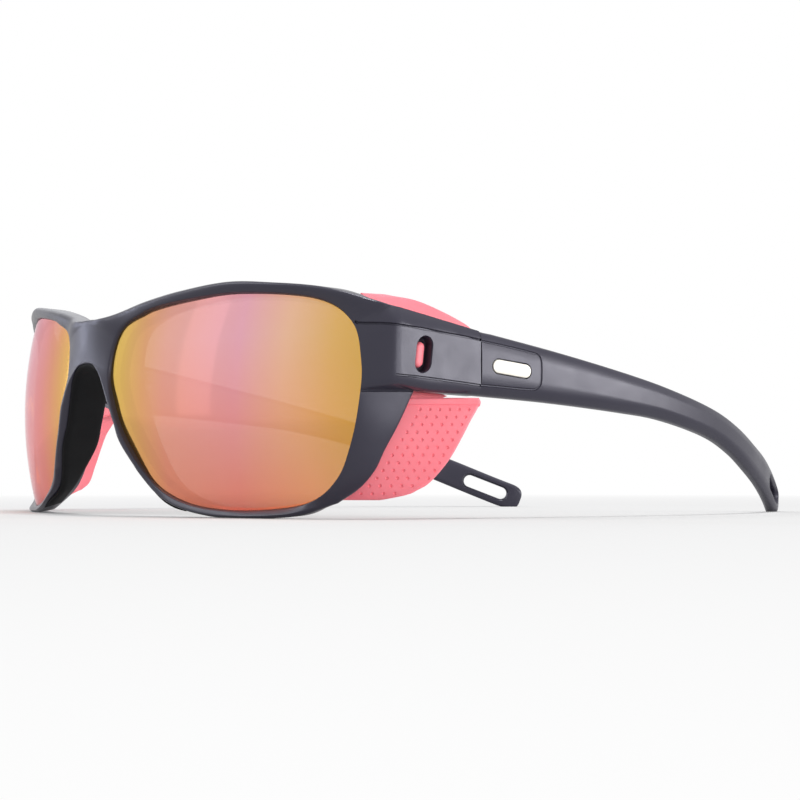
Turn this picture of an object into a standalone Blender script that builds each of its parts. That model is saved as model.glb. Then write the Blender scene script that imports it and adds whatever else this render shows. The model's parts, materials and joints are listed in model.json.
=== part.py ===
# Glacier glasses: a wrapped front with spherical lenses, folding temples with slotted cord ends,
# and side shields that clip into a slot in each end piece.
# Lengths are in millimetres and become metres when a mesh is made. +X is the wearer's left, the front
# faces -Y, and +Z is up. The glasses stand on their rims and on the ends of the temples.
import math

import bmesh
import bpy
import numpy as np
from mathutils import Vector

MM = 0.001

# Clearances
SEAT_GAP = 0.3                # between a piece and the piece that it is seated on or cut from
HINGE_GAP = 0.3               # between the end piece and the open temple, and between knuckles
CUT_EXTRA = 2.0               # how far a cutting shape runs past the face that it cuts

# Lenses
LENS_WIDTH = 56.6             # seen from the front
LENS_HEIGHT = 40.7
LENS_RADIUS = 81.5            # sphere of the front surface
LENS_THICKNESS = 2.0
LENS_BEVEL = 0.6              # how far the edge of the lens reaches into the rim's groove
LENS_TURN = 24.65             # the sphere's centre lies this far towards the nose from the lens's middle
LENS_SETBACK = 2.1            # from the front of the bridge back to the lens beside the nose
BRIDGE_WIDTH = 17.2           # between the two lenses

# The lens's outline, in half widths and half heights from its middle, from the nose over the top
LENS_OUTLINE = [
    (-1.000, 0.325), (-0.925, 0.715), (-0.650, 0.880), (-0.204, 0.970), (0.200, 1.000),
    (0.690, 0.925), (0.920, 0.705), (0.997, 0.340), (0.995, 0.000), (0.945, -0.370),
    (0.840, -0.710), (0.640, -0.930), (0.270, -1.000), (-0.110, -0.975), (-0.400, -0.868),
    (-0.605, -0.690), (-0.810, -0.330), (-0.925, 0.000),
]

# Rims and bridge
TOP_RIM = 2.4
BOTTOM_RIM = 1.8
FOOT_FLAT = 0.3               # the bottom rims are cut flat by this much to stand on
SIDE_RIM = 2.8                # the flange beside the lens, seen from the front
NOSE_LIP = 2.5                # how far the rim stands in front of the lens, by side
TOP_LIP = 0.7
SIDE_LIP = 0.25
BOTTOM_LIP = 0.4
BROW_DEPTH = 5.5
FOOT_DEPTH = 4.2
BRIDGE_DEPTH = 8.0
NOSE_DEPTH = 9.0
NOSE_FLARE = 1.2              # the nose wall leans outwards to the rear by this much
FLANGE_DEPTH = 10.4           # from the lens's edge back to the flange's rear edge, below the end piece
FLANGE_WALL = 1.8
REAR_LIP = 2.4                # behind the lens groove
NOSE_REAR_LIP = 6.2           # the same beside the nose
FLANGE_REAR_LIP = 1.2         # the same beside the flange
EDGE_ROUND = 0.5
FACE_CROWN = 0.25
BRIDGE_TOP_RISE = 17.6        # above the middle of the lenses
ARCH_RISE = 8.6               # the nose arch's top, above the middle of the lenses
ARCH_ANGLE = -195.0           # place on the lens's edge that the arch's top is joined to, in degrees
BRIDGE_ANGLE = 155.0          # place on the lens's edge that the bridge's top is joined to
ARCH_SWEEP = 0.13             # how fast the arch's sides run down along the lens's edge
ARCH_SETBACK = 0.6            # the arch's sides lie this far behind its top

# The nose arch, as distances below its top and half widths
ARCH_OUTLINE = [(0.0, 0.0), (0.22, 1.9), (0.9, 3.55), (2.0, 4.7), (3.7, 5.9), (5.7, 6.95), (8.5, 8.35),
                (12.0, 10.1), (16.4, 12.4)]

# End pieces
END_OVERHANG = 4.8            # from the lens's outer edge to the side of the end piece
END_SETBACK = 4.6             # from the lens's outer edge back to the corner
END_LENGTH = 19.5             # from the corner to the hinge
END_THICKNESS = 4.5
CORNER_TOP_RISE = 17.35       # heights above the middle of the lenses
CORNER_BOTTOM_RISE = 2.55
CORNER_LEVELS = (0.0, 0.2, 0.5, 0.85, 1.0)    # shares of the way down the corner
END_BLEND = 2.0               # behind the flange's rear edge, where the end piece has its full section
HINGE_TOP_RISE = 13.2
HINGE_BOTTOM_RISE = 1.1

# Clip slot in the end piece
SLOT_LENGTH = 6.6
SLOT_WIDTH = 3.6
SLOT_SETBACK = 6.1            # from the corner back to the slot's middle
SLOT_RISE = 8.4               # above the middle of the lenses
TAB_RECESS = 2.2              # from the end piece's side in to the end of the shield's tab

# Nose saddle, one soft strip over the arch and down both nose walls
SADDLE_THICKNESS = 0.9
SADDLE_INSET = 0.3            # from the front and rear edges of the nose wall
SADDLE_END_ANGLE = -130.0     # place on the lens's edge that it reaches down to, in degrees
SADDLE_END_SHARE = 0.5        # share of its thickness left at its ends
SADDLE_EDGE = 0.65            # width of the slope along its front and rear edges

# Side shields
SHIELD_WALL = 1.5
SHIELD_INSET = 1.5            # inwards from the flange's inner edge
SHIELD_TUCK = 0.8             # how far it reaches in front of the flange's rear edge
SHIELD_FRONT = 1.4            # from the corner back to the upper front edge
SHIELD_NECK = 11.0            # from the corner back to the edge in front of the hinge
SHIELD_HEEL = 16.0            # from the corner back to the edge below the hinge
SHIELD_CURL = 4.0             # the upper lobe's front edge lies this far further inside
SHIELD_TOP_REACH = 20.5       # from the corner back to the upper lobe's rear end
SHIELD_LOW_REACH = 19.0       # from the corner back to the lower lobe's rear end
SHIELD_LAP = 0.4              # the upper panel lies this far inside the lower lobe where they join
SHIELD_TOP_RISE = 20.2        # above the middle of the lenses
SHIELD_BOTTOM = 3.3           # above the floor
SHIELD_CLEAR = 0.5            # above and below the hinge end of the temple

# Upper lobe of the shield: share of its height, share of its reach
UPPER_LOBE = [(1.0, 0.08), (0.93, 0.20), (0.82, 0.46), (0.53, 0.73), (0.18, 0.99), (0.0, 1.0)]

# Lower lobe, downwards: share of its height, share of its reach, share of its flare out to the side
LOWER_LOBE = [(0.0, 0.98, 1.0), (0.06, 1.0, 1.0), (0.22, 0.88, 1.0), (0.41, 0.77, 0.9), (0.615, 0.65, 0.72),
              (0.80, 0.51, 0.42), (0.885, 0.36, 0.25), (0.945, 0.25, 0.06), (1.0, 0.02, -0.5)]

# Where the upper panel runs down into the lower lobe: distance below the hinge notch, width
SHIELD_ROOT = [(1.5, 5.5), (4.0, 3.5)]

# Hinges
KNUCKLE_RADIUS = 1.8
KNUCKLE_HEIGHT = 2.4
SCREW_RADIUS = 0.75
SCREW_HEAD_RADIUS = 1.5
SCREW_HEAD_HEIGHT = 0.8
LEAF_THICKNESS = 1.0
LEAF_LENGTH = 6.5             # from the hinge axis to the end of the leaf
LEAF_LAP = 0.6                # how far a knuckle's arm runs into its plate
RIVET_RADIUS = 0.6
RIVET_HEAD_RADIUS = 1.15
RIVET_HEAD_HEIGHT = 0.5
RIVET_DEPTH = 2.4             # into the end piece or the temple
RIVET_SPREAD = 4.4            # between the upper and the lower rivet
RIVET_REACH = 4.6             # from the hinge axis

# Temples
TEMPLE_REACH = 101.2          # from the hinge straight back to where the strap's round end starts
TEMPLE_BOW = 3.7              # how far the temple would lean out on the way
TEMPLE_CURL = 25.5            # how far its end curls in from there
TEMPLE_CURL_POWER = 3.2       # how late the curl starts
TIP_RISE = 2.95               # from the floor up to the middle of the strap's end
TEMPLE_CHAMFER = 0.9          # also along the end piece
CHAMFER_DROP = 0.35           # how far the chamfer's far edge lies below the top, as a share of the chamfer
CHAMFER_SHARE = 0.4           # most of the half height or half thickness that a chamfer takes

# Along the temple: share of its reach, share of its drop, height, thickness as a share of the end piece's
TEMPLE_SECTIONS = [
    (0.000, 0.000, None, 1.00), (0.172, 0.080, 10.0, 0.93), (0.364, 0.184, 7.8, 0.87),
    (0.479, 0.257, 6.6, 0.82), (0.632, 0.393, 5.95, 0.75), (0.732, 0.527, 5.95, 0.70),
    (0.813, 0.666, 6.2, 0.66), (0.885, 0.787, 6.5, 0.63), (1.000, 1.000, 6.5, 0.62),
]

# Slot for a cord near the end of the strap
CORD_SLOT_LENGTH = 11.6
CORD_SLOT_WIDTH = 3.0
CORD_SLOT_LAND = 3.2          # between the slot and the strap's end

# Inlay on the temple
INLAY_LENGTH = 9.0
INLAY_WIDTH = 2.6
INLAY_THICKNESS = 0.8
INLAY_PROUD = 0.15
INLAY_REACH = 7.0             # from the hinge back to the inlay's middle

ROUND_STEPS = 16              # sides of a small round piece
SLOT_STEPS = 6                # sides of a slot's round end
LENS_STEPS = 56               # points round a lens
EDGE_STEPS = 2                # stations between two points of the frame's outer edge

# Places that follow from the sizes
lens_x = (BRIDGE_WIDTH + LENS_WIDTH) / 2
lens_z = BOTTOM_RIM + LENS_HEIGHT / 2 - FOOT_FLAT
sphere_x = lens_x - LENS_TURN
sphere_y = LENS_SETBACK + LENS_RADIUS
side_x = lens_x + LENS_WIDTH / 2 + END_OVERHANG
inner_x = side_x - END_THICKNESS


def smooth(points, steps):
    """Points on a curve through the given points, with so many steps between two of them."""
    padded = [2 * points[0] - points[1]] + list(points) + [2 * points[-1] - points[-2]]
    curve = []
    for before, start, end, after in zip(padded, padded[1:], padded[2:], padded[3:]):
        for step in range(steps):
            t = step / steps
            curve.append(0.5 * (2 * start + (end - before) * t
                                + (2 * before - 5 * start + 4 * end - after) * t ** 2
                                + (3 * start - before - 3 * end + after) * t ** 3))
    curve.append(np.array(points[-1]))
    return curve


def unit(vector):
    return vector / np.linalg.norm(vector)


def lens_outline():
    """Angles and radii of the lens's outline round its middle, for reading off by angle."""
    half = np.array([LENS_WIDTH / 2, LENS_HEIGHT / 2])
    points = [np.array(point) * half for point in LENS_OUTLINE]
    loop = points[-2:] + points + points[:3]
    curve = np.array(smooth(loop, 8))
    angles = np.unwrap(np.arctan2(curve[:, 1], curve[:, 0]))
    order = np.argsort(angles)
    return angles[order], np.hypot(curve[:, 0], curve[:, 1])[order]


outline_angles, outline_radii = lens_outline()


def lens_edge(angle):
    """The lens's front edge at an angle in degrees, its normal, and the direction out across the rim."""
    turn = math.radians(angle)
    low = outline_angles[0]
    wrapped = low + (turn - low) % (2 * math.pi)
    radius = np.interp(wrapped, outline_angles, outline_radii)
    x = lens_x + radius * math.cos(turn)
    z = lens_z + radius * math.sin(turn)
    point = np.array([x, sphere_depth(x, z), z])
    normal = unit(point - np.array([sphere_x, sphere_y, lens_z]))
    outward = np.array([math.cos(turn), 0.0, math.sin(turn)])
    across = unit(outward - outward.dot(normal) * normal)
    return point, normal, across


def sphere_depth(x, z):
    return sphere_y - math.sqrt(LENS_RADIUS ** 2 - (x - sphere_x) ** 2 - (z - lens_z) ** 2)


corner_y = lens_edge(15)[0][1] + END_SETBACK
parting_y = corner_y + END_LENGTH
hinge_top = lens_z + HINGE_TOP_RISE
hinge_bottom = lens_z + HINGE_BOTTOM_RISE
hinge_z = (hinge_top + hinge_bottom) / 2
hinge_x = inner_x - SEAT_GAP - KNUCKLE_RADIUS
slot_y = corner_y + SLOT_SETBACK
slot_z = lens_z + SLOT_RISE


def rim_key(angle, width, setback, wall):
    """A point on the frame's outer edge, the step from it to the rear edge, and the lens angle."""
    edge = lens_edge(angle)[0]
    turn = math.radians(angle)
    x = edge[0] + width * math.cos(turn)
    z = edge[2] + width * math.sin(turn)
    return np.array([x, edge[1] + setback, z, *wall, angle])


def arch_key(drop, half_width):
    """A point on the nose arch, this far below its top, the step to the rear edge, and the lens angle."""
    share = min(1.0, drop / ARCH_OUTLINE[5][0])
    wall = (NOSE_FLARE * share, BRIDGE_DEPTH + (NOSE_DEPTH - BRIDGE_DEPTH) * share, 0.0)
    angle = ARCH_ANGLE + half_width + ARCH_SWEEP * half_width ** 2
    return np.array([half_width, ARCH_SETBACK * share, arch_top - drop, *wall, angle])


def corner_key(share):
    """A point on the corner of the end piece, this share of the way down it."""
    height = corner_top + share * (corner_bottom - corner_top)
    angle = math.degrees(math.atan2(height - lens_z, side_x - lens_x))
    return np.array([side_x, corner_y, height, *corner_wall, angle])


brow_wall = (0.0, BROW_DEPTH, -0.3)
bridge_wall = (0.0, BRIDGE_DEPTH, -0.3)
corner_wall = (-END_THICKNESS, 1.5, 0.0)
flange_wall = (-FLANGE_WALL, 0.3, 0.0)
foot_wall = (0.0, FOOT_DEPTH, 0.0)
bridge_top = lens_z + BRIDGE_TOP_RISE
arch_top = lens_z + ARCH_RISE
corner_top = lens_z + CORNER_TOP_RISE
corner_bottom = lens_z + CORNER_BOTTOM_RISE


def brow_stations():
    """The outer edge from the middle of the bridge along the brow to the top of the corner."""
    keys = [
        np.array([0.0, 0.0, bridge_top, *bridge_wall, BRIDGE_ANGLE]),
        np.array([BRIDGE_WIDTH * 0.27, 0.3, bridge_top, *bridge_wall, BRIDGE_ANGLE - 3.5]),
        rim_key(146, 1.85 * TOP_RIM, -0.7 * NOSE_LIP, brow_wall),
        rim_key(134, 1.2 * TOP_RIM, -0.9, brow_wall),
        rim_key(113, TOP_RIM, -TOP_LIP, brow_wall),
        rim_key(83, TOP_RIM, -TOP_LIP, brow_wall),
        rim_key(60, TOP_RIM, -0.5, brow_wall),
        rim_key(46, 1.2 * TOP_RIM, -0.2, brow_wall),
        rim_key(37, 1.75 * TOP_RIM, 0.4, (-0.27 * END_THICKNESS, 0.8 * BROW_DEPTH, -0.2)),
        rim_key(31.5, 2.6 * TOP_RIM, 0.65 * END_SETBACK, (-0.7 * END_THICKNESS, 0.44 * BROW_DEPTH, -0.1)),
        corner_key(0.0),
    ]
    return smooth(keys, EDGE_STEPS)


def flange_stations():
    """The rear edge of the flange below the end piece, downwards to the bottom rim."""
    keys = [
        rim_key(3.3, SIDE_RIM, FLANGE_DEPTH, flange_wall),
        rim_key(-8.5, SIDE_RIM, 0.76 * FLANGE_DEPTH, flange_wall),
        rim_key(-17, SIDE_RIM, 0.60 * FLANGE_DEPTH, flange_wall),
        rim_key(-25, SIDE_RIM, 0.51 * FLANGE_DEPTH, flange_wall),
        rim_key(-32.5, 0.86 * SIDE_RIM, 0.42 * FLANGE_DEPTH, flange_wall),
        rim_key(-41, 0.71 * SIDE_RIM, 0.31 * FLANGE_DEPTH, (-1.5, 0.8, 0.4)),
    ]
    return smooth(keys, EDGE_STEPS)


def lower_stations():
    """The outer edge along the bottom rim and up the nose to the top of the arch."""
    keys = [
        rim_key(-41, 0.71 * SIDE_RIM, 0.31 * FLANGE_DEPTH, (-1.5, 0.8, 0.4)),
        rim_key(-51, BOTTOM_RIM, 0.9, (-0.6, 3.2, 0.2)),
        rim_key(-66, BOTTOM_RIM, -BOTTOM_LIP, foot_wall),
        rim_key(-82, BOTTOM_RIM, -BOTTOM_LIP, foot_wall),
        rim_key(-105, BOTTOM_RIM, -BOTTOM_LIP, foot_wall),
        rim_key(-122, 1.15 * BOTTOM_RIM, -0.5, foot_wall),
        rim_key(-139, 1.35 * BOTTOM_RIM, -0.7, (0.6 * NOSE_FLARE, 0.67 * NOSE_DEPTH, 0.3)),
    ]
    keys += [arch_key(drop, half_width) for drop, half_width in reversed(ARCH_OUTLINE)]
    return smooth(keys, EDGE_STEPS)[1:]


def bridge_stations():
    """Between the arch and the bridge's top, in the plane that halves the frame."""
    stations = []
    for share in (0.33, 0.67):
        height = arch_top + share * (bridge_top - arch_top)
        angle = ARCH_ANGLE + share * (BRIDGE_ANGLE - 360 - ARCH_ANGLE)
        stations.append(np.array([0.0, 0.0, height, *bridge_wall, angle]))
    return stations


def rim_section(station, kind):
    """The closed section of the rim at a station, from the lip over the outside to the lens groove."""
    front = np.array(station[:3])
    front[2] = max(front[2], 0.0)
    rear = front + station[3:6]
    rear[2] = max(rear[2], 0.0)
    angle = station[6]
    edge, normal, across = lens_edge(angle)
    sides = [-270, -180, -90, 0, 90, 180]
    lips = [TOP_LIP, NOSE_LIP, BOTTOM_LIP, SIDE_LIP, TOP_LIP, NOSE_LIP]
    depths = [REAR_LIP, NOSE_REAR_LIP, REAR_LIP, FLANGE_REAR_LIP, REAR_LIP, NOSE_REAR_LIP]
    proud = np.interp(angle, sides, lips)
    lip_depth = np.interp(angle, sides, depths)
    lip = edge + SEAT_GAP * across + proud * normal
    crown = (lip + front) / 2 + FACE_CROWN * normal
    to_lens = EDGE_ROUND * unit(crown - front)
    to_rear = EDGE_ROUND * unit(rear - front)
    if kind == "corner":
        to_rear = np.array([0.0, EDGE_ROUND, 0.0])
    if kind == "middle":
        middle_side = 1.0 if front[2] < (arch_top + bridge_top) / 2 else -1.0
        to_lens = np.array([0.0, 0.0, EDGE_ROUND * middle_side])
    groove_front = edge + SEAT_GAP * across
    groove_floor = edge + (LENS_BEVEL + SEAT_GAP) * across - LENS_THICKNESS / 2 * normal
    groove_rear = edge + SEAT_GAP * across - LENS_THICKNESS * normal
    inner_rear = groove_rear + np.array([0.0, lip_depth, 0.0])
    if kind == "bridge":
        return [lip, crown, front, None, rear, inner_rear, groove_rear, groove_floor, groove_front]
    return [lip, crown, front + to_lens, front + to_rear, rear,
            inner_rear, groove_rear, groove_floor, groove_front]


def frame_stations():
    """Every station round one lens with its kind: rim, middle, corner, flange or bridge."""
    brow = brow_stations()
    lower = lower_stations()
    stations = [(brow[0], "middle")]
    stations += [(station, "rim") for station in brow[1:-1]]
    stations.append((brow[-1], "corner"))
    stations += [(corner_key(share), "corner") for share in CORNER_LEVELS[1:]]
    stations += [(station, "flange") for station in flange_stations()]
    stations += [(station, "rim") for station in lower[:-1]]
    stations.append((lower[-1], "middle"))
    stations += [(station, "bridge") for station in bridge_stations()]
    return stations


def end_piece_rings():
    """Sections of the end piece between the corner and the hinge, in the order of the root loop."""
    rings = []
    end_y = parting_y - HINGE_GAP / 2
    first_y = corner_y + FLANGE_DEPTH - END_SETBACK + END_BLEND
    for share in (0.0, 0.5, 1.0):
        y = first_y + share * (end_y - first_y)
        along = (y - corner_y) / END_LENGTH
        top = corner_top + along * (hinge_top - corner_top)
        bottom = corner_bottom + math.sqrt(along) * (hinge_bottom - corner_bottom)
        drop = CHAMFER_DROP * TEMPLE_CHAMFER
        ring = [np.array([side_x - TEMPLE_CHAMFER, y, top - drop])]
        ring += [np.array([side_x, y, top + level * (bottom - top)]) for level in CORNER_LEVELS[1:-1]]
        ring.append(np.array([side_x - TEMPLE_CHAMFER, y, bottom + drop]))
        ring.append(np.array([side_x - FLANGE_WALL, y, bottom]))
        ring.append(np.array([inner_x, y, bottom]))
        inner_bottom = bottom + EDGE_ROUND
        inner_heights = [top + level * (inner_bottom - top) for level in reversed(CORNER_LEVELS)]
        ring += [np.array([inner_x, y, height]) for height in inner_heights]
        rings.append(ring)
    return rings


def half_frame():
    """Vertices and faces of the left half of the front, open in the plane that halves it."""
    points = []
    faces = []
    front_at, outer_at, rear_at = 2, 3, 4    # places of these points in a section

    def keep(section):
        numbers = []
        for point in section:
            if point is None:
                numbers.append(None)
                continue
            points.append(point)
            numbers.append(len(points) - 1)
        return numbers

    stations = frame_stations()
    sections = [keep(rim_section(station, kind)) for station, kind in stations]
    kinds = [kind for station, kind in stations]
    for number, section in enumerate(sections):
        following = (number + 1) % len(sections)
        pair = (kinds[number], kinds[following])
        in_middle = "bridge" in pair
        at_end_piece = pair[0] == "corner"
        for side in range(len(section)):
            after = (side + 1) % len(section)
            if in_middle and side in (front_at, outer_at):
                continue
            if at_end_piece and side == outer_at:
                continue
            other = sections[following]
            faces.append((section[side], section[after], other[after], other[side]))
    corners = [section for section, kind in zip(sections, kinds) if kind == "corner"]
    flange = sections[kinds.index("flange")]
    root = [section[outer_at] for section in corners] + [flange[outer_at], flange[rear_at]]
    root += [section[rear_at] for section in reversed(corners)]
    rings = [root] + [keep(ring) for ring in end_piece_rings()]
    add_tube_faces(rings, faces)
    faces.append(tuple(rings[-1]))
    return points, faces


def add_tube_faces(rings, faces):
    """Quads between rings of as many points each."""
    for ring, following in zip(rings, rings[1:]):
        for number in range(len(ring)):
            after = (number + 1) % len(ring)
            faces.append((ring[number], ring[after], following[after], following[number]))


def lofted(rings):
    """Points and faces of a closed tube through rings of points, with flat ends."""
    points = [point for ring in rings for point in ring]
    size = len(rings[0])
    numbers = [[size * row + column for column in range(size)] for row in range(len(rings))]
    faces = []
    add_tube_faces(numbers, faces)
    faces.append(tuple(numbers[0]))
    faces.append(tuple(numbers[-1]))
    return points, faces


def stadium(length, width, steps):
    """Outline of a slot with round ends, lying along its first axis."""
    outline = []
    reach = (length - width) / 2
    for end in (1, -1):
        for step in range(steps + 1):
            turn = math.pi * (step / steps - 0.5)
            x = end * (reach + width / 2 * math.cos(turn))
            outline.append((x, end * width / 2 * math.sin(turn)))
    return outline


def prism(outline, origin, first, second, depth):
    """A closed prism from an outline in the plane of two directions, pushed along a third."""
    flat = [origin + x * first + y * second for x, y in outline]
    return lofted([flat, [point + depth for point in flat]])


def turned(profile, origin, axis):
    """A closed turned piece, from pairs of radius and distance along the axis."""
    axis = unit(axis)
    sideways = unit(np.cross(axis, np.array([0.3, 0.9, 0.1])))
    third = np.cross(axis, sideways)
    rings = []
    for radius, distance in profile:
        ring = []
        for step in range(ROUND_STEPS):
            turn = 2 * math.pi * step / ROUND_STEPS
            ring.append(origin + distance * axis
                        + radius * (math.cos(turn) * sideways + math.sin(turn) * third))
        rings.append(ring)
    return lofted(rings)


def joined(*pieces):
    """Points and faces of several closed shapes kept as one mesh."""
    points = []
    faces = []
    for piece_points, piece_faces in pieces:
        start = len(points)
        points += list(piece_points)
        faces += [tuple(number + start for number in face) for face in piece_faces]
    return points, faces


def sided(piece, side):
    """The piece for the left side, or its mirror image for the right."""
    points, faces = piece
    return [np.array([side * point[0], point[1], point[2]]) for point in points], faces


def lens_piece():
    """A shell of even thickness between two spheres, with a pointed edge for the groove."""
    rings = []
    shares = [0.12, 0.45, 0.8, 1.0]
    angles = [360 * step / LENS_STEPS for step in range(LENS_STEPS)]

    def ring(share, depth):
        points = []
        for angle in angles:
            edge = lens_edge(angle)[0]
            x = lens_x + share * (edge[0] - lens_x)
            z = lens_z + share * (edge[2] - lens_z)
            point = np.array([x, sphere_depth(x, z), z])
            normal = unit(point - np.array([sphere_x, sphere_y, lens_z]))
            points.append(point - depth * normal)
        return points

    rings += [ring(share, 0.0) for share in shares]
    edge_ring = []
    for angle in angles:
        edge, normal, across = lens_edge(angle)
        edge_ring.append(edge + LENS_BEVEL * across - LENS_THICKNESS / 2 * normal)
    rings.append(edge_ring)
    rings += [ring(share, LENS_THICKNESS) for share in reversed(shares)]
    return lofted(rings)


def nose_saddle():
    """A soft strip that follows both nose walls and the arch between them."""
    half = [station for station in lower_stations() if station[6] < SADDLE_END_ANGLE]
    mirror = np.array([-1.0, 1.0, 1.0, -1.0, 1.0, 1.0, 1.0])
    path = half + [station * mirror for station in reversed(half[:-1])]
    rings = []
    for number, station in enumerate(path):
        before = path[max(number - 1, 0)]
        after = path[min(number + 1, len(path) - 1)]
        wall = station[3:6]
        along = unit(wall)
        normal = unit(np.cross(after[:3] - before[:3], wall))
        at_end = number in (0, len(path) - 1)
        rise = SADDLE_THICKNESS * (SADDLE_END_SHARE if at_end else 1.0) * normal
        front = station[:3] + SADDLE_INSET * along + SEAT_GAP * normal
        rear = station[:3] + wall - SADDLE_INSET * along + SEAT_GAP * normal
        depth = rear - front
        edge = SADDLE_EDGE * unit(depth)
        rings.append([front, front + edge + 0.8 * rise, front + 0.5 * depth + rise,
                      rear - edge + 0.8 * rise, rear])
    return lofted(rings)


def flange_curve(height):
    """The flange's rear edge and its inner face at a height, as distances back and to the side."""
    flange = flange_stations() + lower_stations()[:3]
    flange.sort(key=lambda station: station[2])
    heights = [station[2] for station in flange]
    rear = np.interp(height, heights, [station[1] + station[4] for station in flange])
    inside = np.interp(height, heights, [station[0] + station[3] for station in flange])
    return rear, inside


def shield_sheet(rows):
    """A closed sheet from rows of a height, a front edge and a rear edge, each edge as (x, y)."""
    columns = [0.0, 0.05, 0.2, 0.4, 0.6, 0.8, 0.95, 1.0]
    grid = []
    for height, front, rear in rows:
        ends = [np.array([*edge, height]) for edge in (front, rear)]
        grid.append([ends[0] + share * (ends[1] - ends[0]) for share in columns])
    grid = np.array(grid)
    normals = np.cross(np.gradient(grid, axis=0), np.gradient(grid, axis=1))
    normals /= np.linalg.norm(normals, axis=2)[:, :, None]
    normals *= np.sign(normals[:, :, :1])
    rings = []
    for points, outwards in zip(grid, normals):
        edge = np.array([0.25 if share in (0.0, 1.0) else 0.0 for share in columns])[:, None]
        outer = points - edge * SHIELD_WALL * outwards
        inner = points - (1 - edge) * SHIELD_WALL * outwards
        rings.append(list(outer) + list(inner[::-1]))
    return lofted(rings)


shield_x = flange_curve(corner_bottom)[1] - SHIELD_INSET


def shield_upper():
    """The upper lobe, the panel behind the end piece, and its lap into the lower lobe."""
    notch_top = hinge_top + SHIELD_CLEAR
    notch_bottom = hinge_bottom - SHIELD_CLEAR
    front = corner_y + SHIELD_FRONT
    neck = corner_y + SHIELD_NECK
    reach = corner_y + SHIELD_TOP_REACH - front
    inside = shield_x - SHIELD_LAP
    rows = []
    for rise, share in UPPER_LOBE:
        height = notch_top + rise * (lens_z + SHIELD_TOP_RISE - notch_top)
        curl = rise * SHIELD_CURL
        rows.append((height, (inside - curl, front), (inside - curl * (1 - share), front + share * reach)))
    for height in (notch_top - SHIELD_CLEAR, slot_z, notch_bottom + 4 * SHIELD_CLEAR):
        rows.append((height, (inside, front), (inside, neck)))
    rows.append((notch_bottom + SHIELD_CLEAR, (inside, front), (inside, corner_y + SHIELD_HEEL)))
    for drop, width in SHIELD_ROOT:
        rear, face = flange_curve(notch_bottom - drop)
        rows.append((notch_bottom - drop, (face - SHIELD_INSET - SHIELD_LAP, rear),
                     (face - SHIELD_INSET - SHIELD_LAP, rear + width)))
    return shield_sheet(rows)


def shield_lower():
    """The lower lobe, which flares out from inside the flange to under the temple."""
    top = hinge_bottom - SHIELD_CLEAR
    start = corner_y + SHIELD_FRONT
    reach = corner_y + SHIELD_LOW_REACH - start
    rows = []
    for drop, share, flare in LOWER_LOBE:
        height = top + drop * (SHIELD_BOTTOM - top)
        rear, face = flange_curve(height)
        front_edge = (face - SHIELD_INSET, rear - SHIELD_TUCK)
        rear_edge = (shield_x + flare * (side_x - shield_x), start + share * reach)
        rows.append((height, front_edge, rear_edge))
    return shield_sheet(rows)


def shield_tab():
    """The tab that fills the clip slot from inside."""
    outline = stadium(SLOT_LENGTH - 2 * SEAT_GAP, SLOT_WIDTH - 2 * SEAT_GAP, SLOT_STEPS)
    root = shield_x - SHIELD_LAP - SHIELD_WALL / 2
    origin = np.array([root, slot_y, slot_z])
    depth = np.array([side_x - TAB_RECESS - root, 0.0, 0.0])
    return prism(outline, origin, np.array([0.0, 0.0, 1.0]), np.array([0.0, 1.0, 0.0]), depth)


def slot_cutter():
    outline = stadium(SLOT_LENGTH, SLOT_WIDTH, SLOT_STEPS)
    origin = np.array([inner_x - CUT_EXTRA, slot_y, slot_z])
    depth = np.array([END_THICKNESS + 2 * CUT_EXTRA, 0.0, 0.0])
    return prism(outline, origin, np.array([0.0, 0.0, 1.0]), np.array([0.0, 1.0, 0.0]), depth)


def rivet_places(direction):
    y = parting_y + direction * RIVET_REACH
    return [np.array([inner_x, y, hinge_z + half * RIVET_SPREAD / 2]) for half in (1, -1)]


def rivet_piece(place):
    """A rivet from the leaf's inner face into the moulding, with its head inside."""
    head = -2 * SEAT_GAP - LEAF_THICKNESS
    profile = [(0.6 * RIVET_HEAD_RADIUS, head - RIVET_HEAD_HEIGHT),
               (RIVET_HEAD_RADIUS, head - 0.5 * RIVET_HEAD_HEIGHT),
               (RIVET_HEAD_RADIUS, head), (RIVET_RADIUS, head), (RIVET_RADIUS, RIVET_DEPTH)]
    return turned(profile, place, np.array([1.0, 0.0, 0.0]))


def rivet_cutter(place):
    radius = RIVET_RADIUS + SEAT_GAP
    through = 2 * SEAT_GAP + LEAF_THICKNESS + RIVET_HEAD_HEIGHT
    profile = [(radius, -through), (radius, RIVET_DEPTH + SEAT_GAP)]
    return turned(profile, place, np.array([1.0, 0.0, 0.0]))


def knuckle_bands():
    """Heights of the three knuckles, from the bottom."""
    pitch = KNUCKLE_HEIGHT + HINGE_GAP
    return [(hinge_z + step * pitch - KNUCKLE_HEIGHT / 2, hinge_z + step * pitch + KNUCKLE_HEIGHT / 2)
            for step in (-1, 0, 1)]


def leaf_plate(direction):
    """The flat plate of a hinge leaf, clear of the other leaf's knuckles."""
    bands = knuckle_bands()
    near = parting_y + direction * (KNUCKLE_RADIUS + HINGE_GAP)
    far = parting_y + direction * LEAF_LENGTH
    outer = inner_x - SEAT_GAP
    outline = [(outer, near), (outer, far), (outer - LEAF_THICKNESS, far), (outer - LEAF_THICKNESS, near)]
    height = bands[2][1] - bands[0][0]
    origin = np.array([0.0, 0.0, bands[0][0]])
    return prism(outline, origin, np.array([1.0, 0.0, 0.0]), np.array([0.0, 1.0, 0.0]),
                 np.array([0.0, 0.0, height]))


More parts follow.
